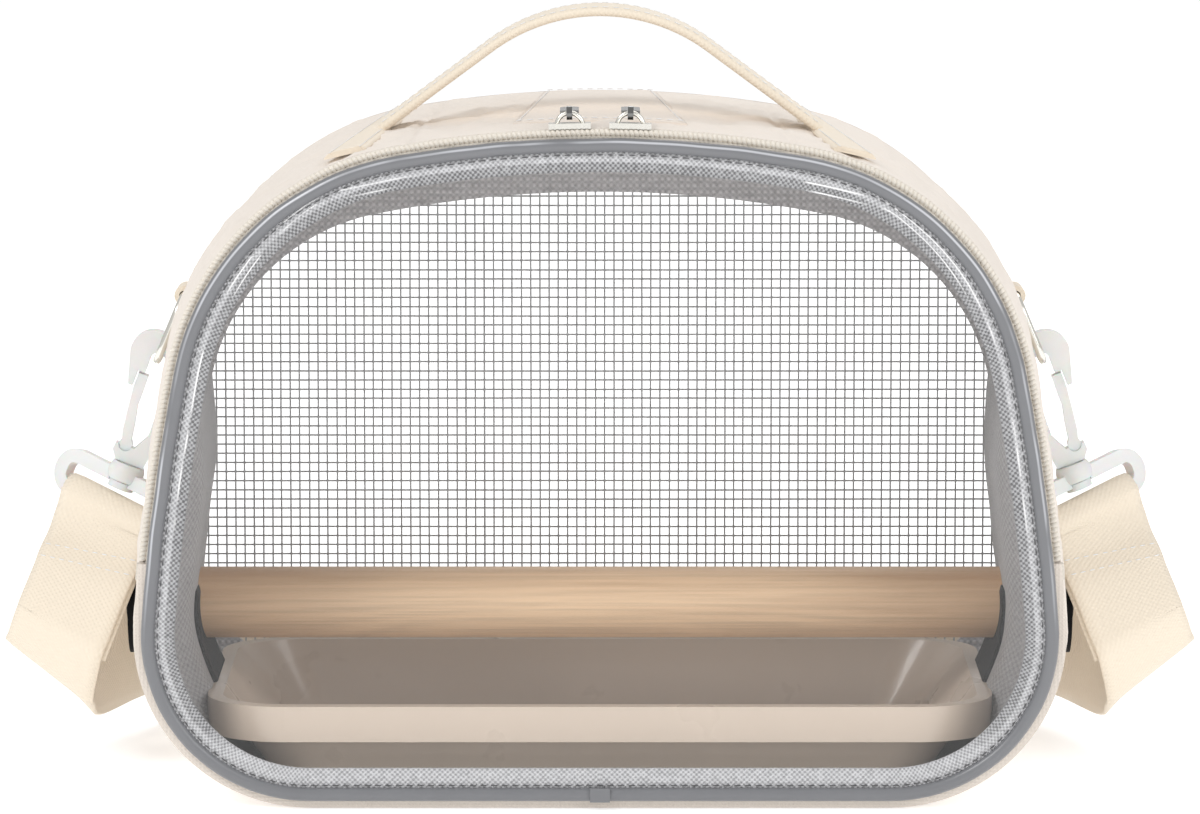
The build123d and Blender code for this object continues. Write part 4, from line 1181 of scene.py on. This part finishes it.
def stitch_lines(name, frames, spans, offset):
    """Sewn lines on a ribbon: each span is ((row, across), (row, across))."""
    rows = []
    for (i1, a1), (i2, a2) in spans:
        count = max(1, abs(i2 - i1))
        points, ups = [], []
        for k in range(count + 1):
            t = k / count
            centre, side, up = frames[round(i1 + (i2 - i1) * t)]
            points.append(centre + side * (a1 + (a2 - a1) * t) + up * offset)
            ups.append(tuple(up * math.copysign(1.0, offset)))
        rows.append(stitch_row("row", points, ups, "thread_cream"))
    return joined(name, rows)


# The left hook's own directions: across its stem, along it, and those of the strap's end.
TILT, YAW = math.radians(21.2), math.radians(32.0)
HUB = Vector((-157.2, 0.0, 98.3))
ACROSS = Vector((-math.cos(TILT), 0.0, math.sin(TILT)))
STEM = Vector((math.sin(TILT), 0.0, math.cos(TILT)))
SPREAD = ACROSS * math.cos(YAW) + Vector((0, 1, 0)) * math.sin(YAW)
BACK = Vector((0, 1, 0)) * math.cos(YAW) - ACROSS * math.sin(YAW)


def on_stem(u, w, y=0.0):
    """A point given across the hook's stem, along it and in depth."""
    return HUB + ACROSS * u + STEM * w + Vector((0, y, 0))


def strap_knots():
    """Stations of the strap's left half, each with the direction of its width.

    The sewn end's rear layer comes first, then the turn round the loop's bar. Their number is
    given too. After them come the front layer, the run down the side and half of the back.
    """
    twist = Vector((-0.78, 0.51, 0.37))
    doubled = [
        (on_stem(0.3, -26, -4), SPREAD), (on_stem(0.6, -36, -9.5), SPREAD),
        (on_stem(0.8, -50, -13), twist), (on_stem(0.7, -57, -12.4), twist),
    ]
    apart = BACK * 1.3
    tail = [(at + apart, side) for at, side in doubled[::-1]]
    wrap = [(on_stem(0, w) + BACK * out, SPREAD) for w, out in (
        (-18.5, 3.2), (-13, 4.0), (-9.6, 2.4), (-8.7, 0.0),
        (-9.6, -2.4), (-13, -4.0), (-18.5, -3.2),
    )]
    front = [(at - apart, side) for at, side in doubled]
    y = Y_REAR + 11.4
    rest = [(Vector(at), Vector(side)) for at, side in (
        ((-182.6, -5, 34.0), (-0.78, 0.42, 0.46)),
        ((-182.8, 4, 30.6), (-0.74, 0.36, 0.57)),
        ((-179.5, 16, 29.6), (-0.56, 0.26, 0.79)),
        ((-173.0, 32, 29.4), (-0.30, 0.14, 0.94)),
        ((-165.5, 50, 29.3), (-0.10, 0.05, 0.99)),
        ((-157.5, 69, 29.4), (0, 0, 1)),
        ((-149.0, 83.5, 29.5), (0, 0, 1)),
        ((-134.0, y - 1.5, 29.5), (0, 0, 1)),
        ((-110.0, y, 29.5), (0, 0, 1)),
        ((-60.0, y, 29.5), (0, 0, 1)),
        ((0.0, y, 29.5), (0, 0, 1)),
    )]
    return tail + wrap + front + rest, len(tail) + len(wrap)


def shoulder_strap():
    """Webbing from one loop, round behind the cabin, to the other, with its sewn ends."""
    steps = 7
    knots, turned = strap_knots()
    centres = catmull([p for p, _ in knots], steps)
    sides = catmull([side for _, side in knots], steps)
    centres += mirrored(centres[:-1])
    sides += mirrored(sides[:-1])
    made, frames = ribbon(
        "shoulder_webbing", centres, sides, width=37.6, thickness=2.1, material="webbing"
    )
    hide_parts("strap_webbing")
    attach(made, "cabin")
    sewn_row, last = turned * steps + 2, len(frames) - 1
    spans = [((i, -16), (i, 16)) for i in (sewn_row, sewn_row + 3)]
    spans += [((last - i, -p), (last - j, -q)) for (i, p), (j, q) in spans]
    sewn = stitch_lines("strap_stitches", frames, spans, -1.1)
    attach(sewn, "cabin")
    dress("strap_adjuster", "frosted")
    for side_name in ("left", "right"):
        for node in ("snap_hook_", "hook_gate_", "swivel_loop_"):
            dress(node + side_name, "frosted")
        dress("d_ring_" + side_name, "plated")
    dress("ring_tabs", "webbing_solid")


HANDLE = dict(radius=62.0, top=253.5, leg=math.radians(36.5), thick=3.3, width=25.0, hinge=222.57)


def over_top(x, y, lift):
    """Point on the gusset's top, raised from it."""
    r = TOP_RADIUS + lift
    return (x, y, TOP_CENTRE + math.sqrt(r * r - x * x))


def handle_arch():
    """Webbing arch whose ends go down into the strips sewn over them."""
    h = HANDLE
    middle, leg = h["radius"] - h["thick"] / 2, h["leg"]
    centre = Vector((0, 0, h["top"] - h["radius"]))
    line = [
        centre + Vector((middle * math.sin(leg * i / 24), 0, middle * math.cos(leg * i / 24)))
        for i in range(25)
    ]
    shoulder, down = line[-1], Vector((math.cos(leg), 0, -math.sin(leg)))
    run, step = 0.0, 1.5
    while line[-1].z > over_top(line[-1].x, 0, -1.2)[2]:
        run += step
        line.append(shoulder + down * run)
    centres = mirrored(line[1:]) + line
    sides = [Vector((0, 1, 0))] * len(centres)
    made, frames = ribbon(
        "handle_webbing", centres, sides, h["width"] - 0.4, h["thick"] - 0.2, "webbing"
    )
    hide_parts("handle")
    spans = [((6, across), (len(frames) - 7, across)) for across in (-10.4, 10.4)]
    sewn = stitch_lines("handle_stitches", frames, spans, 1.6)
    for piece in (made, sewn):
        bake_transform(piece)


def on_strip(side, y, t, lift):
    """A point over a cross strip at a depth, at a share of the strip's width."""
    inner, outer = 68.6 - 0.101 * y, 79.9 - 0.134 * y
    return over_top(side * (inner + (outer - inner) * t), y, lift)


def cross_strips():
    """Strips sewn over the handle's feet, from the zip to the rear edge."""
    y_front, y_rear, count = -62.0, 72.0, 46
    depths = [y_front + (y_rear - y_front) * i / count for i in range(count + 1)]
    strips, sewn_rows = [], []
    for side in (-1, 1):
        rows = []
        for y in depths:
            hump = 1.5 * math.exp(-((y / 14.0) ** 6))       # over the handle's foot
            row = []
            for k in range(15):
                t = k / 14
                rise = 1.25 * min(1.0, 6 * t, 6 * (1 - t)) ** 0.5
                rise += hump * math.sin(math.pi * min(1.0, t * 1.25)) ** 2
                rise += 0.22 * wobble(t * 3, y / 6, 20.0 + side)
                row.append(on_strip(side, y, t, 0.1 + rise))
            row += [on_strip(side, y, t, -0.5) for t in (1.0, 0.5, 0.0)]
            rows.append(row)
        along = [y - y_front for y in depths]
        strips.append(sheet_grid("strip", rows, along, lengths(rows[0]), "webbing"))
        for t in (0.14, 0.86):
            edge = [on_strip(side, y, t, 1.4) for y in depths]
            sewn_rows.append(stitch_row("row", edge, [(0, 0, 1)] * len(edge), "thread_cream"))
    made = joined("handle_strips", strips)
    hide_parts("handle_ends")
    sewn = joined("handle_end_stitches", sewn_rows)
    for piece in (made, sewn):
        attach(piece, "cabin")


def top_patch():
    """Patch sewn over the middle of the top, narrower at the rear."""
    y_front, y_rear, count = -46.2, 72.0, 30
    half_front, half_rear, hem = 28.0, 19.0, 2.0
    rows, along = [], []
    for i in range(count + 1):
        t = i / count
        y = y_front + (y_rear - y_front) * t
        half = half_front + (half_rear - half_front) * t
        xs = [-half + 2 * half * k / 24 for k in range(25)]
        row = []
        for x in xs:
            rim = ease(min(half - abs(x), y_rear - y, y - y_front), 0.0, 2.5)
            lift = 0.95 * (0.45 + 0.55 * rim) + 0.3 * rim * wobble(x / 8, y / 8, 2.0)
            row.append(over_top(x, y, lift))
        row += [over_top(x, y, -0.6) for x in xs[::-3]]
        rows.append(row)
        along.append(y - y_front)
    patch = sheet_grid("top_patch_cloth", rows, along, lengths(rows[0]), "cream")
    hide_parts("top_patch")
    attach(patch, "cabin")
    corners = [
        (hem - half_front, y_front + hem), (half_front - hem, y_front + hem),
        (half_rear - hem, y_rear - hem), (hem - half_rear, y_rear - hem),
    ]
    sewn_rows = []
    for (x1, y1), (x2, y2) in zip(corners, corners[1:] + corners[:1]):
        shares = [k / 20 for k in range(21)]
        points = [over_top(x1 + (x2 - x1) * t, y1 + (y2 - y1) * t, 1.1) for t in shares]
        sewn_rows.append(stitch_row("row", points, [(0, 0, 1)] * len(points), "thread_cream"))
    sewn = joined("patch_stitches", sewn_rows)
    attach(sewn, "cabin")


# ---------------------------------------------------------------- stage
LENS = 190.0                                # in millimetres, on a 36 mm sensor
CAMERA_AWAY, CAMERA_UP, CAMERA_DOWN = 2.080, 0.3954, 7.54       # two in metres, one in degrees
LAMPS = (                                   # name, place, aim, size, power
    ("key", (-1.5, -1.5, 1.9), (0, 0, 0.1), 0.9, 24.0),
    ("fill", (1.6, -1.6, 1.2), (0, 0, 0.1), 1.5, 15.0),
    ("rim", (0.4, 1.6, 1.6), (0, 0, 0.15), 1.0, 10.0),
)


def camera():
    """A long lens in front of the carrier, looking a little down."""
    data = bpy.data.cameras.new("camera")
    data.lens, data.sensor_width = LENS, 36.0
    made = bpy.data.objects.new("camera", data)
    made.location = (0.0, -CAMERA_AWAY, CAMERA_UP)
    made.rotation_euler = (math.radians(90.0 - CAMERA_DOWN), 0.0, 0.0)
    bpy.context.scene.collection.objects.link(made)
    bpy.context.scene.camera = made


def floor():
    """A pale matt floor that reaches past the picture."""
    reach = 12.0
    mesh = bpy.data.meshes.new("floor")
    mesh.from_pydata(
        [(-reach, -reach, 0), (reach, -reach, 0), (reach, reach, 0), (-reach, reach, 0)],
        [], [(0, 1, 2, 3)],
    )
    made = shown("floor", mesh)
    paint = Finish(
        "floor paint", Roughness=0.9, Emission_Color=(1.0, 1.0, 1.0, 1.0), Emission_Strength=0.36
    )
    speck = paint.noise(paint.place("Object"), 40.0, 2.0)
    rgb = tuple(colours().floor)
    paint.colour(paint.mix(speck * 0.3, rgb, shade(rgb, 0.985)))
    mesh.materials.append(paint.material)


def studio():
    """White surroundings, brighter to the camera than to the pieces."""
    lit, seen = 0.66, 1.0
    world = bpy.data.worlds.new("studio")
    world.use_nodes = True
    sky = world.node_tree.nodes["Background"]
    sky.inputs["Color"].default_value = (1.0, 1.0, 1.0, 1.0)
    by_camera = Nodes(world.node_tree).out("ShaderNodeLightPath", socket="Is Camera Ray")
    level = by_camera * (seen - lit) + lit
    world.node_tree.links.new(level.socket, sky.inputs["Strength"])
    bpy.context.scene.world = world


def lamp(name, at, aim, size, power):
    """A square soft light at a place, turned to its aim."""
    data = bpy.data.lights.new(name, "AREA")
    data.shape, data.size, data.energy = "SQUARE", size, power
    made = bpy.data.objects.new(name, data)
    made.location = at
    made.rotation_euler = (Vector(aim) - Vector(at)).to_track_quat("-Z", "Y").to_euler()
    bpy.context.scene.collection.objects.link(made)


# ---------------------------------------------------------------- operators
class CARRIER_OT_stage(bpy.types.Operator):
    """Camera, floor and soft light"""

    bl_idname = "carrier.stage"
    bl_label = "Stage"
    bl_options = {"REGISTER"}

    def execute(self, context):
        camera()
        bpy.context.scene.view_settings.view_transform = "Standard"
        floor()
        studio()
        for settings in LAMPS:
            lamp(*settings)
        return {"FINISHED"}


class CARRIER_OT_materials(bpy.types.Operator):
    """Every finish and the trees that repeat pieces"""

    bl_idname = "carrier.materials"
    bl_label = "Finishes"
    bl_options = {"REGISTER"}

    def execute(self, context):
        make_materials()
        TREES["beads"] = bead_tree()
        TREES["wires"] = wire_tree()
        return {"FINISHED"}


class CARRIER_OT_cabin(bpy.types.Operator):
    """Cloth of the gusset, its lining and the board"""

    bl_idname = "carrier.cabin"
    bl_label = "Cabin"
    bl_options = {"REGISTER"}

    def execute(self, context):
        cabin_cloth()
        lining_cloth()
        wall_patches()
        # The rear binding takes the lining cloth painted lighter: painted light against its shade.
        dress("rear_binding", "lining_painted_light")
        dress("base_board", "board")
        dress("sill_seam", "cream_solid")
        return {"FINISHED"}


class CARRIER_OT_back(bpy.types.Operator):
    """Border, wires and stitching of the back"""

    bl_idname = "carrier.back"
    bl_label = "Back"
    bl_options = {"REGISTER"}

    def execute(self, context):
        rear_border()
        rear_stitches()
        wire_mesh()
        return {"FINISHED"}


class CARRIER_OT_front(bpy.types.Operator):
    """Clear sheet, border, piping and stitches"""

    bl_idname = "carrier.front"
    bl_label = "Front"
    bl_options = {"REGISTER"}

    def execute(self, context):
        clear_front()
        front_trim()
        return {"FINISHED"}


class CARRIER_OT_zip(bpy.types.Operator):
    """Zip coils, tape, sliders and pulls"""

    bl_idname = "carrier.zip"
    bl_label = "Zip"
    bl_options = {"REGISTER"}

    def execute(self, context):
        zip_fastener()
        return {"FINISHED"}


class CARRIER_OT_fittings(bpy.types.Operator):
    """Perch with its screws, and the tray"""

    bl_idname = "carrier.fittings"
    bl_label = "Perch and tray"
    bl_options = {"REGISTER"}

    def execute(self, context):
        dress("perch", "wood")
        dress("perch_inserts", "brass")
        dress("tray", "tray")
        for side in ("left", "right"):
            dress("perch_knob_" + side, "black")
        return {"FINISHED"}


class CARRIER_OT_handle(bpy.types.Operator):
    """Handle and the patch under it"""

    bl_idname = "carrier.handle"
    bl_label = "Handle"
    bl_options = {"REGISTER"}

    def execute(self, context):
        handle_arch()
        cross_strips()
        top_patch()
        return {"FINISHED"}


class CARRIER_OT_strap(bpy.types.Operator):
    """Shoulder strap, its hooks, rings and slide"""

    bl_idname = "carrier.strap"
    bl_label = "Shoulder strap"
    bl_options = {"REGISTER"}

    def execute(self, context):
        shoulder_strap()
        return {"FINISHED"}


STEPS = (
    CARRIER_OT_stage, CARRIER_OT_materials, CARRIER_OT_cabin, CARRIER_OT_back, CARRIER_OT_front,
    CARRIER_OT_zip, CARRIER_OT_fittings, CARRIER_OT_handle, CARRIER_OT_strap,
)


class CARRIER_PT_panel(bpy.types.Panel):
    """Steps, sizes and colours of the carrier"""

    bl_label = "Bird travel carrier"
    bl_space_type = "VIEW_3D"
    bl_region_type = "UI"
    bl_category = "Carrier"

    def draw(self, context):
        for step in STEPS:
            self.layout.operator(step.bl_idname)
        for group in (context.scene.carrier_sizes, context.scene.carrier_colours):
            for name in group.bl_rna.properties.keys():
                if name not in ("rna_type", "name"):
                    self.layout.prop(group, name)


CLASSES = (CarrierSizes, CarrierColours, *STEPS, CARRIER_PT_panel)


def register():
    for cls in CLASSES:
        bpy.utils.register_class(cls)
    bpy.types.Scene.carrier_sizes = bpy.props.PointerProperty(type=CarrierSizes)
    bpy.types.Scene.carrier_colours = bpy.props.PointerProperty(type=CarrierColours)


def unregister():
    del bpy.types.Scene.carrier_colours
    del bpy.types.Scene.carrier_sizes
    for cls in reversed(CLASSES):
        bpy.utils.unregister_class(cls)


def main():
    """Build everything."""
    register()
    for step in STEPS:
        group, call = step.bl_idname.split(".")
        getattr(getattr(bpy.ops, group), call)()


if __name__ == "__main__":
    main()
